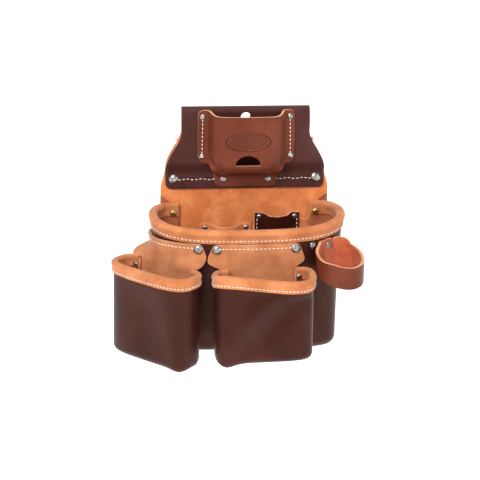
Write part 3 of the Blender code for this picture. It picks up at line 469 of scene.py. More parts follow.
def stitching_tree():
    """Beads of waxed thread, evenly spaced along a seam line."""
    tree = bpy.data.node_groups.new("stitching", "GeometryNodeTree")
    sockets = {}
    tree.interface.new_socket("Geometry", in_out="INPUT", socket_type="NodeSocketGeometry")
    for title, start in (("Pitch", 0.0050), ("Stitch Length", 0.0034), ("Thread", 0.00060)):
        made = tree.interface.new_socket(title, in_out="INPUT", socket_type="NodeSocketFloat")
        made.default_value = start
        sockets[title] = made.identifier
    made = tree.interface.new_socket("Material", in_out="INPUT",
                                     socket_type="NodeSocketMaterial")
    sockets["Material"] = made.identifier
    tree.interface.new_socket("Geometry", in_out="OUTPUT", socket_type="NodeSocketGeometry")
    given = tree.nodes.new("NodeGroupInput")
    result = tree.nodes.new("NodeGroupOutput")
    line = tree.nodes.new("GeometryNodeMeshToCurve")
    spaced = tree.nodes.new("GeometryNodeCurveToPoints")
    spaced.mode = "LENGTH"
    bead = tree.nodes.new("GeometryNodeMeshUVSphere")
    bead.inputs["Segments"].default_value = 6
    bead.inputs["Rings"].default_value = 6
    bead.inputs["Radius"].default_value = 1.0
    half = tree.nodes.new("ShaderNodeMath")
    half.operation = "MULTIPLY"
    half.inputs[1].default_value = 0.5
    size = tree.nodes.new("ShaderNodeCombineXYZ")
    shaped = tree.nodes.new("GeometryNodeTransform")
    placed = tree.nodes.new("GeometryNodeInstanceOnPoints")
    real = tree.nodes.new("GeometryNodeRealizeInstances")
    smoothed = tree.nodes.new("GeometryNodeSetShadeSmooth")
    dressed = tree.nodes.new("GeometryNodeSetMaterial")
    link(tree, given.outputs["Geometry"], line.inputs["Mesh"])
    link(tree, line.outputs["Curve"], spaced.inputs["Curve"])
    link(tree, given.outputs["Pitch"], spaced.inputs["Length"])
    link(tree, given.outputs["Stitch Length"], half.inputs[0])
    link(tree, given.outputs["Thread"], size.inputs["X"])
    link(tree, given.outputs["Thread"], size.inputs["Y"])
    link(tree, half.outputs[0], size.inputs["Z"])
    link(tree, bead.outputs["Mesh"], shaped.inputs["Geometry"])
    link(tree, size.outputs["Vector"], shaped.inputs["Scale"])
    link(tree, spaced.outputs["Points"], placed.inputs["Points"])
    link(tree, spaced.outputs["Rotation"], placed.inputs["Rotation"])
    link(tree, shaped.outputs["Geometry"], placed.inputs["Instance"])
    link(tree, placed.outputs["Instances"], smoothed.inputs["Geometry"])
    link(tree, smoothed.outputs["Geometry"], real.inputs["Geometry"])
    link(tree, real.outputs["Geometry"], dressed.inputs["Geometry"])
    link(tree, given.outputs["Material"], dressed.inputs["Material"])
    link(tree, dressed.outputs["Geometry"], result.inputs["Geometry"])
    return tree, sockets


sewing, sewing_sockets = stitching_tree()


def stitches(name, lines, body, pitch=0.0050, length=0.0034, radius=0.00060):
    """Thread along one or more seam lines, as one plain mesh on a body."""
    mesh = bpy.data.meshes.new(name)
    verts = [point for line in lines for point in line]
    edges = []
    start = 0
    for line in lines:
        edges += [(start + i, start + i + 1) for i in range(len(line) - 1)]
        start += len(line)
    mesh.from_pydata(verts, edges, [])
    piece = new_piece(name, mesh)
    sewn = piece.modifiers.new("stitching", "NODES")
    sewn.node_group = sewing
    sewn[sewing_sockets["Pitch"]] = pitch
    sewn[sewing_sockets["Stitch Length"]] = length
    sewn[sewing_sockets["Thread"]] = radius
    sewn[sewing_sockets["Material"]] = thread
    baked(piece)
    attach(piece, body)
    return piece


bag["seam"] = 0.0133
bag_stand = Stand(0.0, 0.0, 0.0)
cup_rows_found, bag_first, bag_wall = cup_sheet(bag)
last_floor = bag["columns"] - 1 - bag_first
main_shell = leather_sheet(
    "main_shell_leather", [[bag_stand.point(*spot) for spot in row] for row in cup_rows_found],
    bag["leather"], dark_leather, flesh_side, cut_edge,
    lambda r, c: r >= bag_wall and not bag_first <= c < last_floor, 0.0)
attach(main_shell, "main_bag")
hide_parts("main_shell")
main_roll, main_seam = rolled_rim(bag, bag_stand, "main_rim_binding")
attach(main_roll, "main_bag")
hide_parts("main_binding")
stitches("main_rim_stitches", [main_seam[4:-4]], "main_bag")


# ------------------------------------------------------------------ belt panel
# One long piece of dark harness leather: the bag's back, folded over at the top and
# riveted and sewn down again below the belt tunnel.  A hang hole is punched through both.
# The panel leather is lighter and greyer than the bag's dark leather: this greyer tone is
# painted sheen.
panel_leather_painted_sheen = smooth_leather("panel_leather_painted_sheen", (0.040, 0.0110, 0.0092),
                               (0.052, 0.0160, 0.0140), (0.072, 0.0265, 0.0240), 0.44)
panel_thick = 0.0030
tunnel = 0.0068
flap_near = lining_front + clear
flap_far = lining_front + tunnel
panel_bottom = bag["floor_drop"]


def rounded_in(drop, bottom, radius):
    """How far a rounded bottom corner pulls a side in."""
    below = max(0.0, drop - (bottom - radius))
    return radius - math.sqrt(max(0.0, radius * radius - below * below))


def flap_half(drop):
    flare = mix(0.079, 0.099, ramp(drop, 0.026, 0.075))
    return flare + 0.0007 * noise.noise(Vector((drop * 45.0, 4.2, 0.0)))


def punch_tool(name, outline, front, back, surface_index):
    """A prism along the depth, whose cut faces take the cut edge's finish."""
    shape = bmesh.new()
    near = [shape.verts.new((x, front, z)) for x, z in outline]
    far = [shape.verts.new((x, back, z)) for x, z in outline]
    shape.faces.new(near)
    shape.faces.new(list(reversed(far)))
    for i in range(len(outline)):
        j = (i + 1) % len(outline)
        shape.faces.new((near[i], far[i], far[j], near[j]))
    bmesh.ops.recalc_face_normals(shape, faces=shape.faces[:])
    mesh = bpy.data.meshes.new(name)
    shape.to_mesh(mesh)
    shape.free()
    made = new_piece(name, mesh, dark_leather, flesh_side, cut_edge)
    for face in mesh.polygons:
        face.material_index = surface_index
    return made


panel_places = []
back_half = 0.105
back_corner = 0.016
waist_drop = 0.123
straight_drop = 0.026
flap_bottom = 0.1017
flap_corner = 0.007
for step in range(61):
    if step < 20:
        drop = panel_bottom - back_corner * (1 - math.cos(math.pi / 2 * step / 20))
    else:
        drop = mix(panel_bottom - back_corner, waist_drop, (step - 19) / 41)
    panel_places.append((0.0, drop,
                         back_half - rounded_in(drop, panel_bottom, back_corner)))
for step in range(1, 40):
    drop = mix(waist_drop, straight_drop, step / 39)
    half = flap_half(drop) + 0.006 * ramp(drop, 0.075, 0.106)
    panel_places.append((0.0, drop, half))
fold_depth = flap_far + panel_thick
fold_crest = -0.0029 + fold_depth / 2
for step in range(25):
    angle = math.pi * step / 24
    panel_places.append((fold_depth / 2 * (1 - math.cos(angle)),
                         fold_crest - fold_depth / 2 * math.sin(angle), flap_half(0.0)))
for step in range(1, 45):
    drop = mix(fold_crest, 0.0947, step / 44)
    lean = ramp(drop, 0.066, 0.083)
    panel_places.append((mix(fold_depth, flap_near + panel_thick, lean), drop,
                         flap_half(drop)))
for step in range(13):
    drop = flap_bottom - flap_corner * (1 - math.sin(math.pi / 2 * step / 12))
    panel_places.append((flap_near + panel_thick, drop,
                         flap_half(drop) - rounded_in(drop, flap_bottom, flap_corner)))
panel_rows = []
for index, (depth, drop, half) in enumerate(panel_places):
    row = []
    on_flap = index > 122
    for step in range(49):
        share = step / 24 - 1
        x = half * share
        rise = 0.0
        if on_flap:
            outer = ramp(abs(x), 0.061, 0.078)
            rise = 0.0011 * outer * ramp(drop, 0.004, 0.03) * (1 - ramp(drop, 0.058, 0.078))
            rise += 0.0004 * outer * noise.noise(Vector((x * 30.0, drop * 30.0, 7.0)))
            rise = max(0.0, rise)
        row.append(Vector((x, -depth - rise, height(drop))))
    panel_rows.append(row)
hang_radius = 0.0064
hang_ring = [(hang_radius * math.cos(math.tau * i / 40), height(0.0098)
              + hang_radius * math.sin(math.tau * i / 40)) for i in range(40)]
belt_panel = leather_sheet("belt_panel_leather", panel_rows, panel_thick, panel_leather_painted_sheen,
                           flesh_side, cut_edge, punched=punch_tool(
                               "hang_punch", hang_ring, -0.035, 0.015, 2))
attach(belt_panel, "main_bag")
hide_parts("belt_panel")
belt_rivet = (0.0885, 0.0889)
flap_face = flap_near + panel_thick
rivets_found = []
for side in (-1, 1):
    rivets_found.append(("rivet_belt_" + ("left" if side < 0 else "right"),
                         Vector((side * belt_rivet[0], -flap_face - clear,
                                 height(belt_rivet[1]))), Vector((0, -1, 0)), 0.0060,
                         flap_face + 2 * clear, "nickel", "main_bag"))
belt_seams = []
for side in (-1, 1):
    belt_seams.append([Vector((side * mix(0.0395, 0.0815, i / 20), -flap_face - 0.0002,
                               height(0.0895 + 0.0006 * math.sin(i * 0.7))))
                       for i in range(21)])
stitches("belt_panel_stitches", belt_seams, "main_bag")

# ------------------------------------------------------------------ back lining
# A sheet of brushed split leather between the back and the bag, riveted and sewn to the
# back; it shows above the bag's mouth and behind the inner pockets.
lining_suede = suede("lining_suede", (0.55, 0.150, 0.044), (0.69, 0.215, 0.070),
                     (0.80, 0.300, 0.110))
lining_rows = []
for r in range(81):
    drop = mix(0.038, panel_bottom - 0.017, r / 80)
    half = mix(0.085, 0.105, ramp(drop, 0.045, 0.104))
    half = mix(half, 0.092, ramp(drop, 0.108, 0.123))
    half += 0.0005 * noise.noise(Vector((drop * 60.0, 1.0, 9.0)))
    lining_rows.append([Vector((half * (c / 20 - 1), -lining_front, height(drop)))
                        for c in range(41)])
back_lining = leather_sheet("back_lining_suede", lining_rows, 0.0024, lining_suede,
                            flesh_side, cut_edge)
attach(back_lining, "main_bag")
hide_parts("back_lining")

# ------------------------------------------------------------------ tape holster
# Red-brown leather moulded over a block: a rounded front, a flange sewn and riveted down
# each side, a finger cut-out low in front, and a tab riveted under its floor.
holster_thick = 0.0028
holster_bulge = 0.027
holster_x = 0.0005
flange_face = flap_far + panel_thick + clear + holster_thick
tab_face = flap_near + panel_thick + clear + holster_thick


def holster_across(rise, share):
    """One section: flange, rounded side and front; a share of 1 is the flat tab."""
    corner = [(0.0595, 0.0), (0.0540, 0.0), (0.0500, 0.0), (0.0470, 0.0022),
              (0.0452, 0.0080 * rise / 0.027), (0.0420, 0.0165 * rise / 0.027),
              (0.0375, 0.0222 * rise / 0.027), (0.0325, 0.0255 * rise / 0.027),
              (0.0240, 0.0268 * rise / 0.027), (0.0120, rise * 1.012), (0.0, rise * 1.016)]
    half = []
    for index, (across, forward) in enumerate(corner):
        even_spot = 0.0385 * (1 - max(0, index - 2) / (len(corner) - 3))
        if index > 1:
            half.append((mix(across, even_spot, share), mix(forward, rise, share)))
        else:
            half.append((across, forward))
    left = [(-across, forward) for across, forward in half[:-1]]
    return left, half


def smooth_line(points, passes=2):
    """Corner-cutting, keeping both ends."""
    for _ in range(passes):
        cut = [points[0]]
        for a, b in zip(points, points[1:]):
            cut.append(tuple(mix(x, y, 0.25) for x, y in zip(a, b)))
            cut.append(tuple(mix(x, y, 0.75) for x, y in zip(a, b)))
        cut.append(points[-1])
        points = cut
    return points


flange_half = 0.0595
holster_half = 0.0500
flange_low = 0.0655
flange_corner = 0.0065
holster_low_end = 0.0985
tab_width = 0.0385
holster_stations = [(0.0030, 1.0, 0.0), (0.030, 1.0, 0.0), (0.0540, 1.0, 0.0),
                    (0.0600, 1.0, 0.10), (0.0655, 0.98, 0.28), (0.0695, 0.93, 0.46),
                    (0.0735, 0.74, 0.68), (0.0770, 0.42, 0.88), (0.0805, 0.16, 1.0),
                    (0.0840, 0.02, 1.0), (0.0870, 0.0, 1.0), (0.0985, 0.0, 1.0)]
holster_line = evenly([(drop, swell / 100, share / 100)
                       for drop, swell, share in smooth_line(holster_stations)], 73)
holster_rows = []
for drop, swell_part, share_part in holster_line:
    swell = swell_part * 100
    share = share_part * 100
    base = mix(flange_face, tab_face, ramp(drop, 0.0700, 0.0850))
    trim = 1 - rounded_in(drop, holster_low_end, 0.006) / tab_width
    left, half = holster_across(holster_bulge * swell, share)
    body = smooth_line(left[2:] + list(reversed(half[2:])), 2)
    body = evenly(body, 61)
    wing = [(-mix(flange_half, holster_half, i / 6), 0.0) for i in range(6)]
    other = [(-u, w) for u, w in reversed(wing)]
    row = []
    for u, w in wing + body + other:
        lip = 0.0030 * ramp(0.030 - drop, 0.0, 0.028) * (1 - ramp(w, 0.002, 0.022))
        pull = 0
        if abs(u) > holster_half:
            high = rounded_in(flange_low + 0.0030 - drop, flange_low, flange_corner)
            low = rounded_in(min(drop, flange_low), flange_low, flange_corner)
            pull = max(high, low) * ((abs(u) - holster_half) / 0.0095)
        across = math.copysign(abs(u) - pull, u) * (trim if drop > 0.0925 else 1)
        row.append(Vector((holster_x + across, -(base + w), height(drop - lip))))
    holster_rows.append(row)
holster_low = next(i for i, place in enumerate(holster_line) if place[0] > flange_low)
cut_arch = [(holster_x + 0.0155 * math.cos(math.pi * i / 24),
             height(0.0505 + 0.0130) + 0.0130 * math.sin(math.pi * i / 24))
            for i in range(25)]
stamped_leather = smooth_leather("stamped_leather", (0.092, 0.0180, 0.0085),
                                 (0.128, 0.0280, 0.0135), (0.175, 0.0450, 0.0230), 0.36)
stamp = stamped_leather.node_tree
stamp_shader = stamp.nodes["Principled BSDF"]


def reckon(tree, kind, *values):
    """A sum on sockets and numbers; the last may be a second output."""
    node = tree.nodes.new("ShaderNodeMath")
    node.operation = kind
    for index, value in enumerate(values):
        if isinstance(value, (int, float)):
            node.inputs[index].default_value = value
        else:
            link(tree, value, node.inputs[index])
    return node.outputs[0]


def step_between(tree, value, low, high):
    node = tree.nodes.new("ShaderNodeMapRange")
    node.interpolation_type = "SMOOTHSTEP"
    node.inputs["From Min"].default_value = low
    node.inputs["From Max"].default_value = high
    link(tree, value, node.inputs["Value"])
    return node.outputs["Result"]


# an oval panel of basket weave, pressed into the front inside one fine border line
stamp_place = stamp.nodes.new("ShaderNodeSeparateXYZ")
link(stamp, stamp.nodes.new("ShaderNodeTexCoord").outputs["Object"], stamp_place.inputs[0])
stamp_x = reckon(stamp, "SUBTRACT", stamp_place.outputs["X"], holster_x)
stamp_z = reckon(stamp, "SUBTRACT", stamp_place.outputs["Z"], height(0.0335))
oval = reckon(stamp, "SQRT", reckon(
    stamp, "ADD", reckon(stamp, "POWER", reckon(stamp, "ABSOLUTE", reckon(
        stamp, "DIVIDE", stamp_x, 0.0285)), 2.0),
    reckon(stamp, "POWER", reckon(stamp, "ABSOLUTE", reckon(
        stamp, "DIVIDE", stamp_z, 0.0125)), 2.0)))
cell = 0.0072
weave_lines = []
for first, second in ((stamp_x, stamp_z), (stamp_z, stamp_x)):
    strands = reckon(stamp, "PINGPONG", reckon(stamp, "DIVIDE", first, cell / 6), 1.0)
    weave_lines.append(step_between(stamp, strands, 0.55, 0.9))
column = reckon(stamp, "FLOOR", reckon(stamp, "DIVIDE", stamp_x, cell))
line_of_cells = reckon(stamp, "FLOOR", reckon(stamp, "DIVIDE", stamp_z, cell))
over = reckon(stamp, "ABSOLUTE", reckon(
    stamp, "MODULO", reckon(stamp, "ADD", column, line_of_cells), 2.0))
woven = reckon(stamp, "ADD", reckon(stamp, "MULTIPLY", weave_lines[0], over),
               reckon(stamp, "MULTIPLY", weave_lines[1],
                      reckon(stamp, "SUBTRACT", 1.0, over)))
inside = reckon(stamp, "SUBTRACT", 1.0, step_between(stamp, oval, 0.80, 0.84))
border = reckon(stamp, "SUBTRACT", 1.0, step_between(
    stamp, reckon(stamp, "ABSOLUTE", reckon(stamp, "SUBTRACT", oval, 0.95)), 0.02, 0.05))
pressed = reckon(stamp, "MAXIMUM", reckon(stamp, "MULTIPLY", woven, inside), border)
dyed = stamp_shader.inputs["Base Color"].links[0].from_socket
darkened = stamp.nodes.new("ShaderNodeMix")
darkened.data_type = "RGBA"
link(stamp, reckon(stamp, "MULTIPLY", pressed, 0.90), darkened.inputs["Factor"])
link(stamp, dyed, darkened.inputs[6])
darkened.inputs[7].default_value = (0.030, 0.0110, 0.0070, 1.0)
link(stamp, darkened.outputs[2], stamp_shader.inputs["Base Color"])
grained = stamp_shader.inputs["Normal"].links[0].from_socket
link(stamp, raised(stamp, reckon(stamp, "SUBTRACT", 1.0, pressed), 0.5, 0.0006, grained),
     stamp_shader.inputs["Normal"])
tape_holster = leather_sheet(
    "tape_holster_leather", holster_rows, holster_thick, stamped_leather, flesh_side,
    cut_edge, lambda r, c: r >= holster_low and not 6 <= c < 66,
    punched=punch_tool("finger_punch", cut_arch, -0.060, -(flange_face + 0.015), 2))
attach(tape_holster, "main_bag")
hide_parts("tape_holster")
for label, across, drop, face, cap, length in (
        ("top", 0.0536, 0.0080, flange_face, 0.0035, holster_thick + panel_thick + 3 * clear),
        ("low", 0.0545, 0.0575, flange_face, 0.0035, holster_thick + panel_thick + 3 * clear),
        ("tab", 0.0280, 0.0895, tab_face, 0.0041, tab_face + 2 * clear)):
    for side, hand in ((-1, "left"), (1, "right")):
        rivets_found.append((f"rivet_holster_{label}_{hand}",
                             Vector((holster_x + side * across, -face - clear, height(drop))),
                             Vector((0, -1, 0)), cap, length, "nickel", "main_bag"))
flange_seams = []
for side in (-1, 1):
    flange_seams.append([Vector((holster_x + side * mix(0.0536, 0.0545, i / 20),
                                 -flange_face - 0.0002, height(mix(0.0125, 0.0530, i / 20))))
                         for i in range(21)])
stitches("tape_holster_stitches", flange_seams, "main_bag")

# ------------------------------------------------------------------ hanging pouches
# Each pouch hangs from a split-leather panel whose top, the yoke, is riveted and sewn to
# the bag; the panel bends below its rivets, and the moulded pouch is riveted to it.
yoke_suede = suede("yoke_suede", (0.43, 0.150, 0.060), (0.53, 0.200, 0.083),
                   (0.62, 0.255, 0.112))
bag_line = [Vector((u, -w)) for u, w in cup_outline(bag, bag["half"], bag["front"],
                                                    bag["power"], 241)]
yoke_thick = 0.0026
hinge_drop = 0.1590


def line_normal(index):
    along = bag_line[min(len(bag_line) - 1, index + 2)] - bag_line[max(0, index - 2)]
    along.normalize()
    return Vector((along.y, -along.x))


def along_bag(index, reach):
    """Point and outward direction on the bag, a reach along its outline."""
    step = 1 if reach >= 0 else -1
    left = abs(reach)
    here = bag_line[index]
    while 0 < index < len(bag_line) - 1:
        following = bag_line[index + step]
        span = (following - here).length
        if span >= left:
            near = line_normal(index)
            return here.lerp(following, left / span), near.lerp(line_normal(index + step),
                                                                left / span).normalized()
        left -= span
        index += step
        here = following
    return here, line_normal(index)


def yoke_half(drop):
    if drop < 0.167:
        half = mix(0.053, 0.0585, ramp(drop, 0.1461, 0.167))
    elif drop < 0.1785:
        half = mix(0.0585, 0.0445, ramp(drop, 0.167, 0.1785))
    else:
        half = mix(0.0445, 0.0482, ramp(drop, 0.1785, 0.191))
    return half


def yoke_place(contact, stand, u, drop, lift):
    curved, normal = along_bag(contact, u)
    offset = clear + yoke_thick + lift
    wrapped = curved + normal * offset
    flat = bag_line[contact] + stand.across * u + stand.out * offset
    place = wrapped.lerp(flat, ramp(drop, hinge_drop, 0.1765))
    return Vector((place.x, place.y, height(drop)))


def hanging_pouch(side, facing, contact, shift, rim_drop, floor_drop, lean, shape, droop):
    stand = Stand(bag_line[contact].x, bag_line[contact].y, facing)
    body = f"{side}_pouch"
    rows = []
    top = 0.1461
    steps = 96
    for r in range(steps + 1):
        drop = mix(top, floor_drop, (r / steps) ** 1.35)
        half = yoke_half(drop) - rounded_in(drop, floor_drop, 0.010)
        half -= rounded_in(-drop, -top, 0.006)
        half += 0.0006 * noise.noise(Vector((drop * 70.0, facing * 3.0, 2.0)))
        centre = shift * ramp(drop, 0.167, 0.191)
        row = []
        for c in range(61):
            u = centre + half * (c / 30 - 1)
            lift = 0.0
            if drop > hinge_drop:
                swell = noise.noise(Vector((u * 26.0, drop * 26.0, facing)))
                lift = 0.0004 * swell * ramp(drop, hinge_drop, 0.175)
            row.append(yoke_place(contact, stand, u, drop, min(0.0, lift)))
        rows.append(row)
    panel = leather_sheet(f"{side}_pouch_panel", rows, yoke_thick, yoke_suede, flesh_side,
                          cut_edge)
    hinge = bag_line[contact] + stand.out * (clear + yoke_thick)
    hinge = Vector((hinge.x, hinge.y, height(hinge_drop)))
    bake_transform(panel)
    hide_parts(f"{side}_yoke_strip", f"{side}_back_panel")
    seam = []
    for i in range(41):
        spot, normal = along_bag(contact, mix(-0.0405, 0.0405, i / 40))
        seat = spot + normal * (clear + yoke_thick + 0.0002)
        seam.append(Vector((seat.x, seat.y, height(0.1513))))
    stitches(f"{side}_yoke_stitches", [seam], "main_bag")
    for hand, way in (("left", -1), ("right", 1)):
        spot, normal = along_bag(contact, way * 0.0475)
        seat = spot + normal * (3 * clear + yoke_thick)
        rivets_found.append((f"rivet_{side}_yoke_{hand}",
                             Vector((seat.x, seat.y, height(0.1525))),
                             Vector((normal.x, normal.y, 0.0)), 0.0057,
                             yoke_thick + bag["leather"] + 3 * clear + 0.0013, "nickel",
                             "main_bag"))
    origin = bag_line[contact] + stand.out * (clear + yoke_thick) + stand.across * shift
    pouch_stand = Stand(origin.x, origin.y, facing)

    def rim(u, w):
        share = ramp(w, 0.019, 0.046)
        wave = math.sin(max(-1.0, min(1.0, u / 0.060)) * math.pi / 2)
        return rim_drop + lean * 0.0055 * wave * share

    cup = {
        "half": 0.0600, "floor_half": 0.0595, "rear": 0.0018 + 3 * clear, "side": 0.019,
        "front": 0.046, "floor_front": 0.046, "flange_end": 0.041, "bend": 0.011,
        "power": 3.2, "floor_power": 4.0, "leather": 0.0028, "floor_drop": floor_drop,
        "fillet": 0.009, "edge": 0.0036, "roll": 0.0042, "band": 0.0150, "columns": 150,
        "rim": rim, "swell": shape, "seam": 0.0117, "droop": droop,
    }
    found, first, wall = cup_sheet(cup)
    last = cup["columns"] - 1 - first
    shell = leather_sheet(
        f"{side}_pouch_leather", [[pouch_stand.point(*spot) for spot in row] for row in found],
        cup["leather"], dark_leather, flesh_side, cut_edge,
        lambda r, c: r >= wall and not first <= c < last, 0.0)
    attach(shell, body)
    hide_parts(f"{side}_shell")
    roll, roll_seam = rolled_rim(cup, pouch_stand, f"{side}_rim_binding")
    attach(roll, body)
    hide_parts(f"{side}_binding")
    stitches(f"{side}_rim_stitches", [roll_seam[3:-3]], body, pitch=0.0046,
             length=0.0031, radius=0.00055)
    face = cup["rear"] + 0.0028 + 2 * clear + 0.0018
    for hand, way in (("left", -1), ("right", 1)):
        rivets_found.append((f"rivet_{side}_rim_{hand}",
                             pouch_stand.point(way * 0.0450, face, rim_drop + 0.0115),
                             Vector((stand.out.x, stand.out.y, 0.0)), 0.0035,
                             face + yoke_thick + clear, "nickel", body))


def left_shape(u, w, t):
    """A ridge down towards the front corner, hollow beside it."""
    ridge = math.exp(-((u - mix(0.036, 0.050, t)) / 0.010) ** 2)
    hollow = math.exp(-((u - 0.008) / 0.024) ** 2)
    fold = math.exp(-((u - mix(0.030, -0.028, t)) / 0.012) ** 2)
    return (0.0026 * ridge * t - 0.0034 * hollow * math.sin(math.pi * t)
            + 0.0012 * fold * math.sin(math.pi * t))


def right_shape(u, w, t):
    """A soft fold from the low left corner up to the middle of the rim."""
    across = u - mix(0.016, -0.054, t ** 0.8)
    ridge = math.exp(-(across / 0.015) ** 2)
    hollow = math.exp(-((across - 0.034) / 0.018) ** 2)
    return (0.0042 * ridge - 0.0052 * hollow) * math.sin(math.pi * min(1.0, t * 0.93 + 0.07))


def left_droop(u, w):
    return 0.0022 * math.exp(-((u - 0.052) / 0.014) ** 2) * ramp(w, 0.015, 0.045)


def right_droop(u, w):
    return mix(-0.0012, 0.0050, math.exp(-((u + 0.050) / 0.015) ** 2)) * ramp(w, 0.012, 0.045)


left_facing = math.radians(-43.0)
right_facing = math.radians(3.0)
left_way = Vector((math.sin(left_facing), -math.cos(left_facing)))
left_contact = max(range(len(bag_line)), key=lambda i: bag_line[i].dot(left_way))
right_contact = min(range(60, 181), key=lambda i: abs(bag_line[i].x - 0.0065))
hanging_pouch("left", left_facing, left_contact, 0.010, 0.1715, 0.289, 0.1,
              left_shape, left_droop)
hanging_pouch("right", right_facing, right_contact, 0.006, 0.1745, 0.2835, 1.0,
              right_shape, right_droop)

# ------------------------------------------------------------------ hammer loop
# One strap of thick red-brown leather bent into a ring, its two rounded ends meeting on
# the bag under a rivet each; its raw inner face is rougher and its cut edge pale.
russet_leather = smooth_leather("russet_leather", (0.092, 0.0180, 0.0085),
                                (0.128, 0.0280, 0.0135), (0.175, 0.0450, 0.0230), 0.36)
strap_flesh = suede("strap_flesh", (0.33, 0.065, 0.025), (0.43, 0.090, 0.036),
                    (0.53, 0.130, 0.055))
strap_thick = 0.0035
ring_centre = Vector((0.1075, -0.104))
front_right = [i for i, spot in enumerate(bag_line) if spot.x > 0 and -spot.y > 0.042]
seam_index = min(front_right, key=lambda i: abs(bag_line[i].x - 0.1020))
seam_normal = line_normal(seam_index)
seam_along = Vector((-seam_normal.y, seam_normal.x))
ring_spots = []
ring_start = math.atan2(-seam_normal.y, -seam_normal.x)
for step in range(481):
    angle = ring_start + math.tau * step / 480
    spot = ring_centre + Vector((math.cos(angle), math.sin(angle))) * 0.0295
    nearest = min(range(len(bag_line)), key=lambda i: (bag_line[i] - spot).length)
    away_from_bag = line_normal(nearest)
    outside = (spot - bag_line[nearest]).dot(away_from_bag)
    if outside < clear:
        spot = spot + away_from_bag * (clear - outside)
    ring_spots.append((spot.x, spot.y))
ring_line = [Vector(spot) for spot in evenly(ring_spots, 221)][1:-1]


def strap_edges(place):
    """Top and bottom drops of the strap: a slanting band with two riveted lobes."""
    top = (0.1572 + 0.186 * (place.x - ring_centre.x)
           + 0.30 * (-place.y + ring_centre.y))
    bottom = top + 0.027
    reach = abs((place - bag_line[seam_index]).dot(seam_along))
    behind = (place - ring_centre).dot(seam_normal) < 0
    clear_of_tab = ramp(reach, 0.0185, 0.0250) if behind else 1.0
    top += 0.0045 * ramp(ring_centre.x - place.x, 0.010, 0.028) * clear_of_tab
    bottom += 0.0085 * ramp(place.y - ring_centre.y, -0.008, 0.018)
    if behind and reach < 0.0185:
        lobe = max(0.0, 1 - ((reach - 0.0078) / 0.0076) ** 2)
        top = min(top, mix(top, 0.1455, math.sqrt(lobe)))
    top += 0.0004 * noise.noise(Vector((place.x * 60, place.y * 60, 3.0)))
    return top, bottom


strap_rows = []
for r in range(25):
    share = r / 24
    row = []
    for place in ring_line:
        top, bottom = strap_edges(place)
        row.append(Vector((place.x, place.y, height(mix(top, bottom, share)))))
    strap_rows.append(row)
hammer_strap = leather_sheet("hammer_loop_strap", strap_rows, strap_thick, russet_leather,
                             strap_flesh, cut_edge)
loop_hinge = bag_line[seam_index] + seam_normal * (clear + strap_thick)
loop_hinge = Vector((loop_hinge.x, loop_hinge.y, height(0.1595)))
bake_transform(hammer_strap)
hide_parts("hammer_loop", "hammer_tab_left", "hammer_tab_right")
for hand, way in (("left", -1), ("right", 1)):
    spot, normal = along_bag(seam_index, way * 0.0078)
    seat = spot + normal * (strap_thick + 2 * clear)
    rivets_found.append((f"rivet_hammer_{hand}", Vector((seat.x, seat.y, height(0.1530))),
                         Vector((normal.x, normal.y, 0.0)), 0.0041,
                         strap_thick + bag["leather"] + 3 * clear + 0.0013, "nickel",
                         "main_bag"))

# ------------------------------------------------------------------ inner pockets
# Three patches on the lining, open at the top: a wide suede one, a dark smooth one whose
# mouth gapes, and a narrow pencil sleeve.  The two wide ones are sewn down both sides.
pocket_thick = 0.0022


def inner_pocket(name, ends, top, bottom, bulge, dip, surface, seed):
    rows = []
    near = lining_front + clear + pocket_thick
    for r in range(41):
        t = r / 40
        row = []
        for c in range(61):
            across = c / 60
            arch = ramp(math.sin(math.pi * across), 0.45, 1.0)
            sag = 0.55 * dip * math.sin(math.pi * across) ** 1.2 * (1 - t)
            wave = noise.noise(Vector((across * 3.5, seed, t * 3.0)))
            depth = near + bulge * arch * math.cos(math.pi / 2 * t ** 1.5)
            depth += 0.0022 * max(0.0, wave) * arch * (1 - t)
            curl = 0.0008 * noise.noise(Vector((across * 9.0, seed, 0.0))) * (1 - t) ** 6
            row.append(Vector((mix(ends[0], ends[1], across), -depth,
                               height(mix(top, bottom, t) + sag + curl))))
        rows.append(row)
    piece = leather_sheet(f"{name}_leather", rows, pocket_thick, surface, flesh_side,
                          cut_edge)
    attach(piece, "main_bag")
    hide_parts(name)
    if ends[1] - ends[0] > 0.03:
        seams = []
        for x in (ends[0] + 0.0035, ends[1] - 0.0035):
            seams.append([Vector((x, -near - 0.0002, height(mix(top + 0.011, bottom - 0.006,
                                                                i / 40))))
                          for i in range(41)])
        stitches(f"{name}_stitches", seams, "main_bag")


tan_ends = (-0.056, 0.009)
dark_ends = (0.0125, 0.0700)
inner_pocket("inner_pocket_tan", tan_ends, 0.1468, 0.262, 0.012, 0.005, lining_suede, 1.5)
inner_pocket("inner_pocket_small", (0.0712, 0.0822), 0.1435, 0.2100, 0.0016, 0.001,
             lining_suede, 4.5)
inner_pocket("inner_pocket_dark", dark_ends, 0.1333, 0.262, 0.014, 0.004, dark_leather, 7.5)
for label, ends, top in (("tan", tan_ends, 0.1468), ("dark", dark_ends, 0.1333)):
    seat = lining_front + pocket_thick + 2 * clear
    for hand, x in (("left", ends[0] + 0.0065), ("right", ends[1] - 0.0065)):
        rivets_found.append((f"rivet_{label}_pocket_{hand}",
                             Vector((x, -seat, height(top + 0.0065))), Vector((0, -1, 0)),
                             0.0035, seat + clear, "nickel", "main_bag"))

# ------------------------------------------------------------------ rivets
# Domed tubular rivets of nickelled steel, two of brass at the bag's mouth: a turned cap
# with a worn crown in front, and a flat burr closed over on the other side.


def rivet_metal(name, dark, light, roughness):
    made, tree, shader, place = shaded(name, roughness, 1.0)
    link(tree, tones(tree, clouds(tree, place, 420.0, 4.0), (0.35, dark), (0.65, light)),
         shader.inputs["Base Color"])
    link(tree, raised(tree, clouds(tree, place, 700.0, 3.0), 0.12, 0.0003),
         shader.inputs["Normal"])
    return made


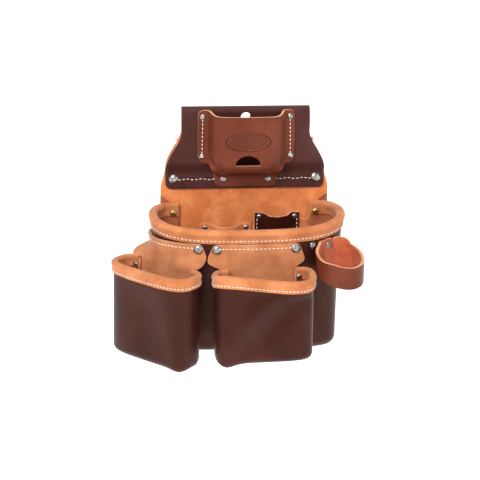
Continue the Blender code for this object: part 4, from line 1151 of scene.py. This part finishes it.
nickel = rivet_metal("nickel", (0.16, 0.155, 0.15), (0.50, 0.49, 0.47), 0.36)
brass = rivet_metal("brass", (0.40, 0.24, 0.08), (0.70, 0.47, 0.20), 0.36)


def turned_cap(name, profile):
    """A cap of unit radius, turned from its profile."""
    shape = bmesh.new()
    ring = [shape.verts.new((radius, 0.0, rise)) for radius, rise in profile]
    edges = [shape.edges.new(pair) for pair in zip(ring, ring[1:])]
    bmesh.ops.spin(shape, geom=ring + edges, axis=(0, 0, 1), cent=(0, 0, 0),
                   angle=math.tau, steps=32)
    bmesh.ops.remove_doubles(shape, verts=shape.verts[:], dist=0.0005)
    bmesh.ops.recalc_face_normals(shape, faces=shape.faces[:])
    mesh = bpy.data.meshes.new(name)
    shape.to_mesh(mesh)
    shape.free()
    mesh.shade_smooth()
    mesh.set_sharp_from_angle(angle=math.radians(60))
    return new_piece(name, mesh)


front_cap = turned_cap("front_cap", [(0.0, 0.36), (0.22, 0.355), (0.34, 0.34), (0.40, 0.375),
                                     (0.52, 0.35), (0.70, 0.27), (0.86, 0.16), (0.96, 0.07),
                                     (1.0, 0.02), (0.97, 0.0), (0.0, 0.0)])
rear_cap = turned_cap("rear_cap", [(0.0, 0.10), (0.28, 0.10), (0.36, 0.17), (0.48, 0.20),
                                   (0.80, 0.19), (0.96, 0.12), (1.0, 0.03), (0.97, 0.0),
                                   (0.0, 0.0)])


def riveting_tree():
    """A cap on every point, turned to the way out of the leather and sized to its rivet."""
    tree = bpy.data.node_groups.new("riveting", "GeometryNodeTree")
    ports = {}
    tree.interface.new_socket("Geometry", in_out="INPUT", socket_type="NodeSocketGeometry")
    for title, kind in (("Cap", "NodeSocketObject"), ("Material", "NodeSocketMaterial")):
        ports[title] = tree.interface.new_socket(title, in_out="INPUT",
                                                 socket_type=kind).identifier
    tree.interface.new_socket("Geometry", in_out="OUTPUT", socket_type="NodeSocketGeometry")
    given = tree.nodes.new("NodeGroupInput")
    result = tree.nodes.new("NodeGroupOutput")
    cap = tree.nodes.new("GeometryNodeObjectInfo")
    way_out = tree.nodes.new("GeometryNodeInputNamedAttribute")
    way_out.data_type = "FLOAT_VECTOR"
    way_out.inputs["Name"].default_value = "way_out"
    cap_size = tree.nodes.new("GeometryNodeInputNamedAttribute")
    cap_size.data_type = "FLOAT"
    cap_size.inputs["Name"].default_value = "cap_size"
    turned = tree.nodes.new("FunctionNodeAlignRotationToVector")
    turned.axis = "Z"
    placed = tree.nodes.new("GeometryNodeInstanceOnPoints")
    real = tree.nodes.new("GeometryNodeRealizeInstances")
    dressed = tree.nodes.new("GeometryNodeSetMaterial")
    link(tree, given.outputs["Cap"], cap.inputs["Object"])
    link(tree, given.outputs["Geometry"], placed.inputs["Points"])
    link(tree, cap.outputs["Geometry"], placed.inputs["Instance"])
    link(tree, way_out.outputs["Attribute"], turned.inputs["Vector"])
    link(tree, turned.outputs["Rotation"], placed.inputs["Rotation"])
    link(tree, cap_size.outputs["Attribute"], placed.inputs["Scale"])
    link(tree, placed.outputs["Instances"], real.inputs["Geometry"])
    link(tree, real.outputs["Geometry"], dressed.inputs["Geometry"])
    link(tree, given.outputs["Material"], dressed.inputs["Material"])
    link(tree, dressed.outputs["Geometry"], result.inputs["Geometry"])
    return tree, ports


riveting, riveting_ports = riveting_tree()
side_way = line_normal(min(front_right, key=lambda i: abs(bag_line[i].x - 0.0765)))
side_spot = bag_line[min(front_right, key=lambda i: abs(bag_line[i].x - 0.0765))]
side_seat = side_spot + side_way * 2 * clear
rivets_found.append(("rivet_bag_side", Vector((side_seat.x, side_seat.y, height(0.1515))),
                     Vector((side_way.x, side_way.y, 0.0)), 0.0041,
                     bag["leather"] + clear + 0.0013, "nickel", "main_bag"))
rim_seat = bag["rear"] + bag["leather"] + 2 * clear + 0.0018
for hand, side in (("left", -1), ("right", 1)):
    rivets_found.append((f"rivet_main_rim_{hand}",
                         Vector((side * 0.0895, -rim_seat, height(0.1320))),
                         Vector((0, -1, 0)), 0.0041, rim_seat + clear, "brass", "main_bag"))


def rivet_set(name, metal, body):
    """All rivets of one metal on one body, as one plain mesh for each end."""
    chosen = [row for row in rivets_found if row[5] == metal and row[6] == body]
    for label, cap in (("caps", front_cap), ("burrs", rear_cap)):
        mesh = bpy.data.meshes.new(f"{name}_{label}")
        if label == "caps":
            spots = [(face, out, size) for _, face, out, size, _, _, _ in chosen]
        else:
            spots = [(face - out * length, -out, min(size, 0.0040))
                     for _, face, out, size, length, _, _ in chosen]
        mesh.from_pydata([spot for spot, _, _ in spots], [], [])
        mesh.attributes.new("way_out", "FLOAT_VECTOR", "POINT")
        mesh.attributes.new("cap_size", "FLOAT", "POINT")
        for index, (_, way, size) in enumerate(spots):
            mesh.attributes["way_out"].data[index].vector = way
            mesh.attributes["cap_size"].data[index].value = size
        piece = new_piece(f"{name}_{label}", mesh)
        fixed = piece.modifiers.new("riveting", "NODES")
        fixed.node_group = riveting
        fixed[riveting_ports["Cap"]] = cap
        fixed[riveting_ports["Material"]] = nickel if metal == "nickel" else brass
        baked(piece)
        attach(piece, body)
    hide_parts(*[row[0] for row in chosen])


rivet_set("bag_rivets", "nickel", "main_bag")
rivet_set("mouth_rivets", "brass", "main_bag")
rivet_set("left_pouch_rivets", "nickel", "left_pouch")
rivet_set("right_pouch_rivets", "nickel", "right_pouch")
bpy.data.objects.remove(front_cap)
bpy.data.objects.remove(rear_cap)
